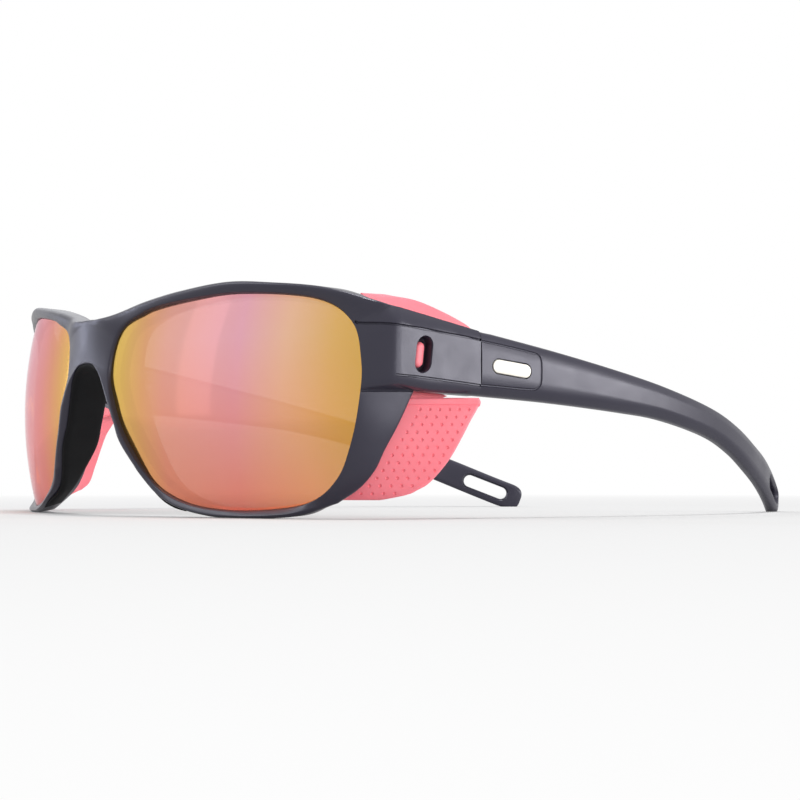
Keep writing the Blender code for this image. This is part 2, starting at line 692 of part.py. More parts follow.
def leaf_knuckle(direction, band):
    """One knuckle with the arm that joins it to its plate."""
    outer = inner_x - SEAT_GAP
    inner = outer - LEAF_THICKNESS
    arm = parting_y + direction * (KNUCKLE_RADIUS + HINGE_GAP + LEAF_LAP)
    outline = [(inner, arm), (outer, arm)]
    last = 2 * math.pi - math.acos((inner - hinge_x) / KNUCKLE_RADIUS)
    for step in range(ROUND_STEPS + 1):
        turn = last * step / ROUND_STEPS
        x = hinge_x + KNUCKLE_RADIUS * math.cos(turn)
        outline.append((x, parting_y - direction * KNUCKLE_RADIUS * math.sin(turn)))
    origin = np.array([0.0, 0.0, band[0]])
    return prism(outline, origin, np.array([1.0, 0.0, 0.0]), np.array([0.0, 1.0, 0.0]),
                 np.array([0.0, 0.0, band[1] - band[0]]))


def screw_bore():
    bands = knuckle_bands()
    radius = SCREW_RADIUS + SEAT_GAP
    profile = [(radius, bands[0][0] - CUT_EXTRA), (radius, bands[2][1] + CUT_EXTRA)]
    return turned(profile, np.array([hinge_x, parting_y, 0.0]), np.array([0.0, 0.0, 1.0]))


def hinge_screw():
    bands = knuckle_bands()
    head = bands[2][1] + SEAT_GAP
    profile = [(SCREW_RADIUS, bands[0][0]), (SCREW_RADIUS, head), (SCREW_HEAD_RADIUS, head),
               (SCREW_HEAD_RADIUS, head + 0.6 * SCREW_HEAD_HEIGHT),
               (0.7 * SCREW_HEAD_RADIUS, head + SCREW_HEAD_HEIGHT)]
    return turned(profile, np.array([hinge_x, parting_y, 0.0]), np.array([0.0, 0.0, 1.0]))


def temple_path(share):
    """Outer face, middle height, height and thickness of the temple at a share of its reach."""
    hinge_height = hinge_top - hinge_bottom
    shares = [row[0] for row in TEMPLE_SECTIONS]
    rows = [np.array([row[1], row[2] or hinge_height, row[3]]) for row in TEMPLE_SECTIONS]
    dense = np.array(smooth(rows, 10))
    positions = np.array(smooth([np.array([value]) for value in shares], 10))[:, 0]
    drop, height, thickness = [np.interp(share, positions, dense[:, column]) for column in range(3)]
    y = parting_y + HINGE_GAP / 2 + share * TEMPLE_REACH
    x = side_x + TEMPLE_BOW * share - TEMPLE_CURL * max(share, 0.0) ** TEMPLE_CURL_POWER
    z = hinge_z + drop * (TIP_RISE - hinge_z)
    return np.array([x, y, z]), height, thickness * END_THICKNESS


def temple_frame(share):
    """The temple's middle at a share of its reach, with its run, its up and its outward direction."""
    place, height, thickness = temple_path(share)
    run = temple_path(share + 0.004)[0] - temple_path(share - 0.004)[0]
    if share < 0.02:
        run = np.array([0.0, 1.0, 0.0])
    if share > 0.99:
        run = temple_path(0.99)[0] - temple_path(0.97)[0]
    run = unit(run)
    outward = unit(np.array([run[1], -run[0], 0.0]))
    upward = np.cross(outward, run)
    middle = place - thickness / 2 * outward
    return middle, run, upward, outward, height, thickness


def temple_ring(middle, upward, outward, height, thickness):
    """One section with broad chamfers on its outer face; nothing of it lies below the floor."""
    half_high = height / 2
    half_thick = thickness / 2
    cut = min(TEMPLE_CHAMFER, CHAMFER_SHARE * half_high, CHAMFER_SHARE * half_thick)
    outline = [(half_thick, half_high - 2 * cut), (half_thick, 0.0), (half_thick, 2 * cut - half_high),
               (half_thick - cut, CHAMFER_DROP * cut - half_high), (cut - half_thick, -half_high),
               (-half_thick, cut - half_high), (-half_thick, half_high - cut),
               (cut - half_thick, half_high), (half_thick - cut, half_high - CHAMFER_DROP * cut)]
    ring = []
    for across, up in outline:
        point = middle + across * outward + up * upward
        point[2] = max(point[2], 0.0)
        ring.append(point)
    return ring


def temple_arm():
    """The arm from the hinge to the round end of its strap."""
    rings = []
    shares = np.linspace(0.0, 1.0, 27)
    for share in shares:
        middle, run, upward, outward, height, thickness = temple_frame(share)
        rings.append(temple_ring(middle, upward, outward, height, thickness))
    middle, run, upward, outward, height, thickness = temple_frame(1.0)
    radius = height / 2
    for share in (0.35, 0.65, 0.85, 0.96):
        reach = share * radius
        high = height * math.sqrt(1 - share ** 2)
        thin = thickness * (1 - 0.45 * share ** 3)
        rings.append(temple_ring(middle + reach * run, upward, outward, high, thin))
    return lofted(rings)


def cord_slot_cutter():
    """The slot near the end of the strap, cut straight through it."""
    middle, run, upward, outward, height, thickness = temple_frame(1.0)
    end = middle + height / 2 * run
    centre_share = 1.0 - (CORD_SLOT_LAND + CORD_SLOT_LENGTH / 2 - height / 2) / TEMPLE_REACH
    along = unit(end - temple_frame(centre_share)[0])
    across = unit(np.cross(outward, along))
    centre = end - (CORD_SLOT_LAND + CORD_SLOT_LENGTH / 2) * along
    reach = 3 * thickness
    outline = stadium(CORD_SLOT_LENGTH, CORD_SLOT_WIDTH, SLOT_STEPS)
    return prism(outline, centre - reach / 2 * outward, along, across, reach * outward)


def inlay_shape(length, width, start, thickness):
    """The inlay's bar on the temple's outer face, from a depth below it."""
    share = INLAY_REACH / TEMPLE_REACH
    middle, run, upward, outward, height, temple_thickness = temple_frame(share)
    face = middle + temple_thickness / 2 * outward
    outline = stadium(length, width, SLOT_STEPS)
    return prism(outline, face + start * outward, run, upward, thickness * outward)


def inlay_piece():
    return inlay_shape(INLAY_LENGTH, INLAY_WIDTH, INLAY_PROUD - INLAY_THICKNESS, INLAY_THICKNESS)


def inlay_cutter():
    start = INLAY_PROUD - INLAY_THICKNESS - SEAT_GAP
    return inlay_shape(INLAY_LENGTH + 2 * SEAT_GAP, INLAY_WIDTH + 2 * SEAT_GAP, start, CUT_EXTRA)


def material(name, colour, roughness, metallic=0.0):
    made = bpy.data.materials.new(name)
    made.use_nodes = True
    shader = made.node_tree.nodes["Principled BSDF"]
    shader.inputs["Base Color"].default_value = (*colour, 1.0)
    shader.inputs["Roughness"].default_value = roughness
    shader.inputs["Metallic"].default_value = metallic
    made.diffuse_color = (*colour, 1.0)
    return made


def clear_scene():
    for old in list(bpy.data.objects):
        bpy.data.objects.remove(old, do_unlink=True)


def add_empty(name, place, parent=None):
    empty = bpy.data.objects.new(name, None)
    empty.location = Vector(place) * MM
    empty.parent = parent
    bpy.context.collection.objects.link(empty)
    return empty


def add_piece(name, piece, look, holder, holder_place, mirrored=False):
    """An object from points in millimetres, placed under an empty that stands at holder_place."""
    points, faces = piece
    made = bmesh.new()
    corners = [made.verts.new((np.array(point) - holder_place) * MM) for point in points]
    for face in faces:
        made.faces.new([corners[number] for number in face])
    if mirrored:
        copy = bmesh.ops.duplicate(made, geom=made.verts[:] + made.edges[:] + made.faces[:])
        for item in copy["geom"]:
            if isinstance(item, bmesh.types.BMVert):
                item.co.x = -item.co.x
        bmesh.ops.remove_doubles(made, verts=made.verts[:], dist=0.01 * MM)
    bmesh.ops.recalc_face_normals(made, faces=made.faces[:])
    mesh = bpy.data.meshes.new(name)
    made.to_mesh(mesh)
    made.free()
    mesh.materials.append(look)
    mesh.shade_smooth()
    mesh.set_sharp_from_angle(angle=math.radians(35))
    thing = bpy.data.objects.new(name, mesh)
    thing.parent = holder
    bpy.context.collection.objects.link(thing)
    return thing


def add_tool(name, piece, look, holder, holder_place):
    """A hidden shape that is cut from a piece or joined to it."""
    tool = add_piece(name, piece, look, holder, holder_place)
    tool.hide_render = True
    tool.display_type = "WIRE"
    return tool


def combine(thing, tool, operation):
    step = thing.modifiers.new(tool.name, "BOOLEAN")
    step.operation = operation
    step.solver = "EXACT"
    step.object = tool


def build():
    clear_scene()
    frame_look = material("frame_nylon", (0.060, 0.056, 0.080), 0.45)
    lens_look = material("lens_mirror", (0.80, 0.42, 0.30), 0.08, 0.6)
    shield_look = material("shield_coral", (0.95, 0.23, 0.28), 0.5)
    saddle_look = material("saddle_rubber", (0.016, 0.016, 0.020), 0.8)
    inlay_look = material("inlay_satin", (0.80, 0.79, 0.76), 0.35, 0.6)
    steel_look = material("hinge_steel", (0.55, 0.55, 0.57), 0.3, 1.0)

    frame = half_frame()
    temple = temple_arm()
    front_y = min(point[1] for point in frame[0])
    rear_y = max(point[1] for point in temple[0])
    root_place = np.zeros(3)
    root = add_empty("glasses", (0.0, -(front_y + rear_y) / 2, 0.0))

    front = add_piece("front_frame", frame, frame_look, root, root_place, mirrored=True)
    add_piece("nose_saddle", nose_saddle(), saddle_look, root, root_place)
    for side, word in ((1, "left"), (-1, "right")):
        hinge_place = np.array([side * hinge_x, parting_y, hinge_z])
        clip_place = np.array([side * inner_x, slot_y, slot_z])
        hinge = add_empty("temple_hinge_" + word, hinge_place, root)
        clip = add_empty("shield_clip_" + word, clip_place, root)

        def fixed(name, piece, look):
            return add_piece(f"{name}_{word}", sided(piece, side), look, root, root_place)

        def folding(name, piece, look):
            return add_piece(f"{name}_{word}", sided(piece, side), look, hinge, hinge_place)

        fixed("lens", lens_piece(), lens_look)
        fixed("hinge_screw", hinge_screw(), steel_look)

        front_holes = joined(slot_cutter(), *[rivet_cutter(place) for place in rivet_places(-1)])
        cutter = add_tool("front_holes_" + word, sided(front_holes, side), frame_look, root, root_place)
        combine(front, cutter, "DIFFERENCE")

        shield = add_piece("side_shield_" + word, sided(shield_upper(), side), shield_look, clip, clip_place)
        for name, piece in (("shield_lobe_", shield_lower()), ("shield_tab_", shield_tab())):
            tool = add_tool(name + word, sided(piece, side), shield_look, clip, clip_place)
            combine(shield, tool, "UNION")

        arm = folding("temple_arm", temple, frame_look)
        temple_holes = joined(cord_slot_cutter(), inlay_cutter(),
                              *[rivet_cutter(place) for place in rivet_places(1)])
        cutter = add_tool("temple_holes_" + word, sided(temple_holes, side), frame_look, hinge, hinge_place)
        combine(arm, cutter, "DIFFERENCE")
        folding("temple_inlay", inlay_piece(), inlay_look)

        bands = knuckle_bands()
        leaves = (("front", -1, [bands[0], bands[2]], fixed, root, root_place),
                  ("temple", 1, [bands[1]], folding, hinge, hinge_place))
        for name, direction, own_bands, make, holder, place in leaves:
            leaf = make(name + "_hinge_leaf", leaf_plate(direction), steel_look)
            knuckles = joined(*[leaf_knuckle(direction, band) for band in own_bands])
            tool = add_tool(f"{name}_knuckles_{word}", sided(knuckles, side), steel_look, holder, place)
            combine(leaf, tool, "UNION")
            holes = joined(screw_bore(), *[rivet_cutter(spot) for spot in rivet_places(direction)])
            tool = add_tool(f"{name}_leaf_holes_{word}", sided(holes, side), steel_look, holder, place)
            combine(leaf, tool, "DIFFERENCE")
            for level, spot in zip(("upper", "lower"), rivet_places(direction)):
                make(f"{name}_leaf_rivet_{level}", rivet_piece(spot), steel_look)


build()
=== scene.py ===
import json
import math
from types import SimpleNamespace

import bmesh
import bpy
import numpy as np
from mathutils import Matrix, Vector
from mathutils.bvhtree import BVHTree


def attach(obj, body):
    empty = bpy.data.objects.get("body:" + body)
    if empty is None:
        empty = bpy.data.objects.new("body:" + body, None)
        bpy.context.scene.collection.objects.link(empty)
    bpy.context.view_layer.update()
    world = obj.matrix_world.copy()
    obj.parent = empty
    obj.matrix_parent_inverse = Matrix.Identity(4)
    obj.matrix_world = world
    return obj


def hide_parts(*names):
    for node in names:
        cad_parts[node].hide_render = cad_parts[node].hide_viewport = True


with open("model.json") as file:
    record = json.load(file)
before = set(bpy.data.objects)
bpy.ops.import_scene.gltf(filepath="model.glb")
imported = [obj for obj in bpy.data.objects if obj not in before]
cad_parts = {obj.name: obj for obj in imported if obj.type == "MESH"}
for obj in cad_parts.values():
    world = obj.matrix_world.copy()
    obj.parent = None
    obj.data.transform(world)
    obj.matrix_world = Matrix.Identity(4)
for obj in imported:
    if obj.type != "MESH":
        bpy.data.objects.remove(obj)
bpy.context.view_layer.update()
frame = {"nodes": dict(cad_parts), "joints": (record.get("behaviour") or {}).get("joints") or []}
nodes = frame["nodes"]
print("frame loaded:", len(nodes), "nodes")

# All shapes below are in millimetres with the bridge's front at y = 0; toWorld puts them into the frame.
mm = 0.001
metre = 1000
hingePlace = [joint["pos_m"] for joint in frame["joints"] if joint["name"] == "temple_fold_left"][0]


# Small helpers

def vec(*values):
    return np.array(values, float)


def unit(vector):
    return vector / np.linalg.norm(vector)


def smoothCurve(points, steps):
    padded = [2 * points[0] - points[1]] + list(points) + [2 * points[-1] - points[-2]]
    curve = []
    for before, start, end, after in zip(padded, padded[1:], padded[2:], padded[3:]):
        for step in range(steps):
            t = step / steps
            curve.append(0.5 * (2 * start + (end - before) * t
                                + (2 * before - 5 * start + 4 * end - after) * t ** 2
                                + (3 * start - before - 3 * end + after) * t ** 3))
    curve.append(np.array(points[-1]))
    return curve


roundShare = 0.45  # a rounded corner takes at most this much of either side


def roundCorner(before, corner, after, radius, steps, most=roundShare):
    reach = min(radius, most * np.linalg.norm(before - corner), most * np.linalg.norm(after - corner))
    start = corner + reach * unit(before - corner)
    end = corner + reach * unit(after - corner)
    return softTurn(start, corner, end, steps)


def softTurn(start, corner, end, steps):
    shares = [step / steps for step in range(steps + 1)]
    return [(1 - t) ** 2 * start + 2 * t * (1 - t) * corner + t * t * end for t in shares]


def roundLoop(points, radius, steps):
    loop = []
    for number, corner in enumerate(points):
        before = points[number - 1]
        after = points[(number + 1) % len(points)]
        loop += roundCorner(before, corner, after, radius, steps)
    return loop


def stadium(length, width, steps):
    outline = []
    reach = (length - width) / 2
    for end in (1, -1):
        for step in range(steps + 1):
            turn = math.pi * (step / steps - 0.5)
            outline.append((end * (reach + width / 2 * math.cos(turn)), end * width / 2 * math.sin(turn)))
    return outline


def grow(size, amount):
    return [side + 2 * amount for side in size]


def clamp(value):
    return min(max(value, 0.0), 1.0)


def ease(value):
    value = clamp(value)
    return value * value * (3 - 2 * value)


# Lens surface: the CAD's sphere, brought forward beside the nose

lensShape = {
    "width": 56.6, "height": 40.7, "radius": 81.5, "thickness": 2.0, "bevel": 0.6, "turn": 24.65,
    "setback": 2.1, "bridgeWidth": 17.2, "bottomRim": 1.8, "footFlat": 0.3, "noseAhead": 1.25,
    "noseFade": 14, "steps": 14,
    "outline": [(-1.000, 0.325), (-0.925, 0.715), (-0.650, 0.880), (-0.204, 0.970), (0.200, 1.000),
                (0.690, 0.925), (0.920, 0.705), (0.997, 0.340), (0.995, 0.000), (0.945, -0.370),
                (0.840, -0.710), (0.640, -0.930), (0.270, -1.000), (-0.110, -0.975), (-0.400, -0.868),
                (-0.605, -0.690), (-0.810, -0.330), (-0.925, 0.000)],
}
lensX = (lensShape["bridgeWidth"] + lensShape["width"]) / 2
lensZ = lensShape["bottomRim"] + lensShape["height"] / 2 - lensShape["footFlat"]
sphereX = lensX - lensShape["turn"]
sphereY = lensShape["setback"] + lensShape["radius"]


def outlineTable():
    half = vec(lensShape["width"] / 2, lensShape["height"] / 2)
    points = [np.array(point) * half for point in lensShape["outline"]]
    curve = np.array(smoothCurve(points[-2:] + points + points[:3], lensShape["steps"]))
    angles = np.unwrap(np.arctan2(curve[:, 1], curve[:, 0]))
    order = np.argsort(angles)
    return angles[order], np.hypot(curve[:, 0], curve[:, 1])[order]


outlineAngles, outlineRadii = outlineTable()


def sphereDepth(x, z):
    return sphereY - math.sqrt(lensShape["radius"] ** 2 - (x - sphereX) ** 2 - (z - lensZ) ** 2)


def noseAhead(x, z):
    # the photograph's lens stands further forward there than a plain sphere, but not lower down
    inward = max(0.0, (lensX - x) * 2 / lensShape["width"])
    return lensShape["noseAhead"] * inward ** 2 * ease(1 + (z - lensZ) / lensShape["noseFade"])


def lensNormal(point):
    return unit(point - vec(sphereX, sphereY, lensZ))


def lensPoint(x, z, depth):
    point = vec(x, sphereDepth(x, z), z)
    return point - depth * lensNormal(point) - vec(0.0, noseAhead(x, z), 0.0)


def lensEdge(angle):
    turn = math.radians(angle)
    low = outlineAngles[0]
    radius = np.interp(low + (turn - low) % (2 * math.pi), outlineAngles, outlineRadii)
    x = lensX + radius * math.cos(turn)
    z = lensZ + radius * math.sin(turn)
    point = vec(x, sphereDepth(x, z), z)
    normal = lensNormal(point)
    outward = vec(math.cos(turn), 0.0, math.sin(turn))
    return point, normal, unit(outward - outward.dot(normal) * normal)


# Main sizes of the front

front = {
    "sideX": lensX + lensShape["width"] / 2 + 4.8, "endThickness": 4.5, "endLength": 19.5,
    "cornerAngle": 15, "cornerSetback": 4.6, "cornerDip": 0.35, "cornerTop": lensZ + 17.35,
    "cornerBottom": lensZ + 2.55,
    "hingeTop": lensZ + 13.2, "hingeBottom": lensZ + 1.1, "hingeGap": 0.3, "slotBehind": 6.1,
    "slotAbove": 8.4, "bridgeTop": lensZ + 17.6, "archTop": lensZ + 8.6, "levelReach": 7, "uprightReach": 4,
    "uprightAim": 10, "footShare": 0.85, "endLap": 2.0, "innerRise": 0.5, "mergeGap": 0.02,
    "topRim": 2.4, "sideRim": 2.8, "noseLip": 2.2, "topLip": 0.7, "sideLip": 0.25, "bottomLip": 0.5,
    "lowLip": 0.6, "browDepth": 5.5, "footDepth": 4.2, "bridgeDepth": 8.0, "noseDepth": 9.0,
    "noseFlare": 1.2, "flareDrop": 5.7, "noseSetback": 1.3, "flangeDepth": 10.4, "flangeWall": 1.8,
    "lean": 1.6, "turnUnder": 1.5, "seat": 0.04, "lipRound": 0.3, "edgeRound": 1.1, "archRound": 0.35,
    "rearRound": 0.6, "insideRound": 0.5, "crown": 0.3, "steps": 8, "bridgeRows": 9, "endRows": 10,
    "arch": [(0.0, 0.0), (0.1, 1.9), (0.7, 3.75), (1.8, 5.1), (3.5, 6.25), (5.7, 7.2), (8.5, 8.5),
             (12.0, 10.2), (16.4, 12.6)],
}
sideX = front["sideX"]
innerX = sideX - front["endThickness"]
cornerY = lensEdge(front["cornerAngle"])[0][1] + front["cornerSetback"]
partingY = cornerY + front["endLength"]
hingeZ = (front["hingeTop"] + front["hingeBottom"]) / 2
shiftY = hingePlace[1] * metre - partingY
slotPlace = vec(sideX, cornerY + front["slotBehind"], lensZ + front["slotAbove"])


def toWorld(point):
    return Vector((point[0], point[1] + shiftY, point[2])) * mm


def justMade(name):
    piece = bpy.context.active_object
    piece.name = name
    piece.data.name = name
    return piece


# Camera at the photograph's angle

photoCamera = {"place": vec(383.777, -202.267, 7.998), "yaw": 53.83, "tilt": 2.025, "lens": 96.263,
               "sensor": 36, "clip": 0.01}


def makeCamera():
    yaw = math.radians(photoCamera["yaw"])
    tilt = math.radians(photoCamera["tilt"])
    aim = Vector((-math.sin(yaw) * math.cos(tilt), math.cos(yaw) * math.cos(tilt), math.sin(tilt)))
    bpy.ops.object.camera_add(location=toWorld(photoCamera["place"]))
    camera = justMade("photoCamera")
    camera.rotation_euler = aim.to_track_quat("-Z", "Y").to_euler()
    camera.data.lens = photoCamera["lens"]
    camera.data.sensor_width = photoCamera["sensor"]
    camera.data.clip_start = photoCamera["clip"]
    bpy.context.scene.camera = camera


makeCamera()
print("camera set")


# Modelling with operators

def deselect():
    bpy.ops.object.select_all(action="DESELECT")


def pick(piece):
    deselect()
    piece.select_set(True)
    bpy.context.view_layer.objects.active = piece


def facesOut(piece):
    pick(piece)
    bpy.ops.object.mode_set(mode="EDIT")
    bpy.ops.mesh.select_all(action="SELECT")
    bpy.ops.mesh.normals_make_consistent(inside=False)
    bpy.ops.object.mode_set(mode="OBJECT")


def extrudeRings(name, rings):
    # a filled circle takes the first ring's shape and is extruded from ring to ring
    deselect()
    bpy.ops.mesh.primitive_circle_add(vertices=len(rings[0]), radius=mm, fill_type="NGON")
    piece = justMade(name)
    bpy.ops.object.mode_set(mode="EDIT")
    mesh = bmesh.from_edit_mesh(piece.data)
    order = mesh.verts.layers.int.new("order")
    for number, corner in enumerate(mesh.verts):
        corner[order] = number
        corner.co = toWorld(rings[0][number])
    bmesh.update_edit_mesh(piece.data)
    for ring in rings[1:]:
        bpy.ops.mesh.extrude_region_move()
        mesh = bmesh.from_edit_mesh(piece.data)
        order = mesh.verts.layers.int["order"]
        for corner in mesh.verts:
            if corner.select:
                corner.co = toWorld(ring[corner[order]])
        bmesh.update_edit_mesh(piece.data)
    bpy.ops.object.mode_set(mode="OBJECT")
    piece.data.attributes.remove(piece.data.attributes["order"])
    piece.location = (0, 0, 0)
    facesOut(piece)
    return piece


def gridSheet(name, grid):
    # a grid primitive whose points are moved onto the sheet
    rows, columns = len(grid), len(grid[0])
    deselect()
    bpy.ops.mesh.primitive_grid_add(x_subdivisions=columns - 1, y_subdivisions=rows - 1, size=2)
    piece = justMade(name)
    for corner in piece.data.vertices:
        column = round((corner.co.x + 1) / 2 * (columns - 1))
        row = round((corner.co.y + 1) / 2 * (rows - 1))
        corner.co = toWorld(grid[row][column])
    piece.location = (0, 0, 0)
    return piece


def applyModifier(piece, kind, **settings):
    pick(piece)
    step = piece.modifiers.new(kind.lower(), kind)
    for setting, value in settings.items():
        setattr(step, setting, value)
    bpy.ops.object.modifier_apply(modifier=step.name)


def carve(piece, cutter):
    applyModifier(piece, "BOOLEAN", object=cutter, operation="DIFFERENCE", solver="MANIFOLD")
    bpy.data.objects.remove(cutter, do_unlink=True)


def mirrorCopy(piece, name):
    pick(piece)
    bpy.ops.object.duplicate()
    copy = justMade(name)
    copy.scale = (-1, 1, 1)
    bpy.ops.object.transform_apply()
    facesOut(copy)
    return copy


creases = {"shell": 28, "lens": 40, "saddle": 50, "shield": 42, "temple": 40}


def smoothByAngle(piece, angle):
    pick(piece)
    bpy.ops.object.shade_smooth_by_angle(angle=math.radians(angle))


def surfaceOf(piece):
    return BVHTree.FromObject(piece, bpy.context.evaluated_depsgraph_get())


def stadiumRod(name, centre, outward, along, across, rows, steps=10):
    # each row is a section's place along the rod, its length and its width
    rings = []
    for depth, length, width in rows:
        outline = stadium(length, width, steps)
        rings.append([centre + depth * outward + x * along + y * across for x, y in outline])
    return extrudeRings(name, rings)


grooveRod = {"steps": 6, "leastGap": 0.15, "sides": 10}


def layOn(path, surface, sink, before=0.0, after=0.0):
    # points on the surface, clear of each other, run on straight past either end
    spots = []
    for point in smoothCurve(path, grooveRod["steps"]):
        place, normal = surface.find_nearest(toWorld(point))[:2]
        spot = vec(*place) * metre - vec(0, shiftY, 0) - sink * vec(*normal)
        if not spots or np.linalg.norm(spot - spots[-1][0]) > grooveRod["leastGap"]:
            spots.append((spot, vec(*normal)))
    if before:
        spots.insert(0, (spots[0][0] + before * unit(spots[0][0] - spots[1][0]), spots[0][1]))
    if after:
        spots.append((spots[-1][0] + after * unit(spots[-1][0] - spots[-2][0]), spots[-1][1]))
    return spots


def grooveCutter(name, spots, radius):
    # a thin round rod along the surface, half sunk into it
    turns = np.linspace(0, 2 * math.pi, grooveRod["sides"], endpoint=False)
    rings = []
    for number, (spot, normal) in enumerate(spots):
        run = unit(spots[min(number + 1, len(spots) - 1)][0] - spots[max(number - 1, 0)][0])
        across = unit(np.cross(run, normal))
        upright = np.cross(across, run)
        rings.append([spot + radius * (math.cos(turn) * across + math.sin(turn) * upright) for turn in turns])
    return extrudeRings(name, rings)


# Materials

noiseLow, noiseHigh = 0.3, 0.7
bumpHeight = 0.0001


def linear(red, green, blue):
    values = [value / 255 for value in (red, green, blue)]
    return tuple(v / 12.92 if v <= 0.04045 else ((v + 0.055) / 1.055) ** 2.4 for v in values) + (1.0,)


class Nodes:
    def __init__(self, owner, shader):
        owner.use_nodes = True
        self.owner = owner
        self.tree = owner.node_tree
        self.shader = self.tree.nodes[shader]

    def feed(self, node, sockets):
        # a socket takes a number, a colour or the output of another node
        for socket, value in sockets.items():
            if isinstance(value, bpy.types.NodeSocket):
                self.tree.links.new(value, node.inputs[socket])
            else:
                node.inputs[socket].default_value = value

    def shade(self, sockets):
        self.feed(self.shader, sockets)

    def add(self, kind, sockets, **settings):
        node = self.tree.nodes.new("ShaderNode" + kind)
        for setting, value in settings.items():
            setattr(node, setting, value)
        self.feed(node, sockets)
        return node.outputs

    def coords(self, kind):
        return self.add("TexCoord", {})[kind]

    def noise(self, scale, detail=2.0):
        sockets = {"Scale": scale, "Detail": detail, "Vector": self.coords("Object")}
        return self.add("TexNoise", sockets)["Fac"]

    def ramp(self, factor, stops):
        colours = self.add("ValToRGB", {"Fac": factor})["Color"]
        band = colours.node.color_ramp
        while len(band.elements) < len(stops):
            band.elements.new(0.5)
        for element, (place, colour) in zip(band.elements, stops):
            element.position = place
            element.color = linear(*colour)
        return colours

    def span(self, value, low, high, toLow, toHigh):
        ends = {"From Min": low, "From Max": high, "To Min": toLow, "To Max": toHigh}
        return self.add("MapRange", {"Value": value, **ends})["Result"]

    def bump(self, height, strength):
        sockets = {"Height": height, "Strength": strength, "Distance": bumpHeight}
        return self.add("Bump", sockets)["Normal"]

    def mix(self, factor, first, second):
        # the sockets for colours come after those for numbers and vectors
        return self.add("Mix", {0: factor, 6: first, 7: second}, data_type="RGBA")[2]

    def backdrop(self, lit, shown):
        # other surfaces are lit by the first; the camera, reflections and clear lenses see the second
        paths = self.add("LightPath", {})
        seen = paths["Is Camera Ray"]
        for kind in ("Is Glossy Ray", "Is Transmission Ray"):
            seen = self.add("Math", {0: seen, 1: paths[kind]}, operation="MAXIMUM")[0]
        return self.add("MixShader", {0: seen, 1: lit, 2: shown})[0]


def newMaterial(name):
    return Nodes(bpy.data.materials.new(name), "Principled BSDF")


def finish(name, deep, pale, rough, grain, strength, blotches=(45.0, 3.0), wear=(260.0, 3.0)):
    # noise of three sizes varies the colour, the roughness and the height a little
    made = newMaterial(name)
    made.shade({"Base Color": made.ramp(made.noise(*blotches), [(noiseLow, deep), (noiseHigh, pale)]),
                "Roughness": made.span(made.noise(*wear), noiseLow, noiseHigh, *rough),
                "Normal": made.bump(made.noise(grain), strength)})
    return made


frameNylon = finish("frameNylon", deep=(38, 36, 48), pale=(42, 40, 52), rough=(0.31, 0.38),
                    grain=5200.0, strength=0.10)
frameNylon.shade({"Specular Tint": (0.88, 0.88, 1.0, 1.0)})

coralPlastic = finish("coralPlastic", deep=(248, 124, 137), pale=(250, 131, 143), rough=(0.47, 0.54),
                      grain=3800.0, strength=0.08)
coralPlastic.shade({"Subsurface Weight": 0.12, "Subsurface Radius": (0.004, 0.0012, 0.001),
                    "Subsurface Scale": 0.3})

noseRubber = finish("noseRubber", deep=(11, 11, 13), pale=(15, 15, 18), rough=(0.72, 0.79),
                    grain=2600.0, strength=0.2)
noseRubber.shade({"Specular IOR Level": 0.2})

hingeSteel = finish("hingeSteel", deep=(84, 84, 88), pale=(98, 98, 102), blotches=(900.0, 4.0),
                    rough=(0.38, 0.5), wear=(1500.0, 3.0), grain=3000.0, strength=0.05)
hingeSteel.shade({"Metallic": 1.0})

inlaySatin = finish("inlaySatin", deep=(214, 210, 200), pale=(224, 220, 212), blotches=(1200.0, 3.0),
                    rough=(0.4, 0.5), wear=(2200.0, 2.0), grain=5000.0, strength=0.04)
inlaySatin.shade({"Metallic": 0.4})

# The mirror coating runs from gold beside the nose over rose to gold at the side, deeper towards the bottom
coating = {
    "across": [(0.0, (230, 198, 96)), (0.08, (235, 194, 108)), (0.19, (234, 174, 126)),
               (0.3, (238, 172, 154)), (0.42, (237, 169, 165)), (0.62, (235, 168, 182)),
               (0.78, (238, 186, 150)), (0.92, (226, 176, 92)), (1.0, (216, 168, 68))],
    "low": [(0.0, (230, 192, 92)), (0.15, (238, 180, 102)), (0.3, (240, 150, 120)), (0.6, (240, 138, 116)),
            (0.85, (240, 160, 104)), (1.0, (222, 162, 80))],
    "lowZ": 0.004, "highZ": 0.034, "alpha": 0.78, "inside": (58, 38, 32), "insideAlpha": 0.7, "turn": 0.05,
    "tint": (250, 214, 224), "rough": (0.07, 0.10), "wear": 30.0,
}


def mirrorCoating():
    made = newMaterial("lensMirror")
    place = made.add("SeparateXYZ", {"Vector": made.coords("Object")})
    side = made.add("Math", {0: place["X"]}, operation="ABSOLUTE")["Value"]
    left = (lensX - lensShape["width"] / 2) * mm
    right = (lensX + lensShape["width"] / 2) * mm
    share = made.span(side, left, right, 0.0, 1.0)
    depth = made.span(place["Z"], coating["lowZ"], coating["highZ"], 1.0, 0.0)
    mirror = made.mix(depth, made.ramp(share, coating["across"]), made.ramp(share, coating["low"]))
    # only the outer face is coated; the face towards the eye is dark
    facing = made.add("SeparateXYZ", {"Vector": made.coords("Normal")})["Y"]
    coated = made.span(facing, -coating["turn"], coating["turn"], 1.0, 0.0)
    made.shade({"Base Color": made.mix(coated, linear(*coating["inside"]), mirror), "Metallic": coated,
                "Alpha": made.span(coated, 0.0, 1.0, coating["insideAlpha"], coating["alpha"]),
                "Roughness": made.span(made.noise(coating["wear"]), noiseLow, noiseHigh, *coating["rough"]),
                "Specular Tint": linear(*coating["tint"])})
    return made


lensMirror = mirrorCoating()
print("materials made")


def paint(piece, coat):
    piece.data.materials.clear()
    piece.data.materials.append(coat.owner)


def dress(piece, coat, body, cadNode):
    paint(piece, coat)
    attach(piece, body)
    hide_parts(cadNode)


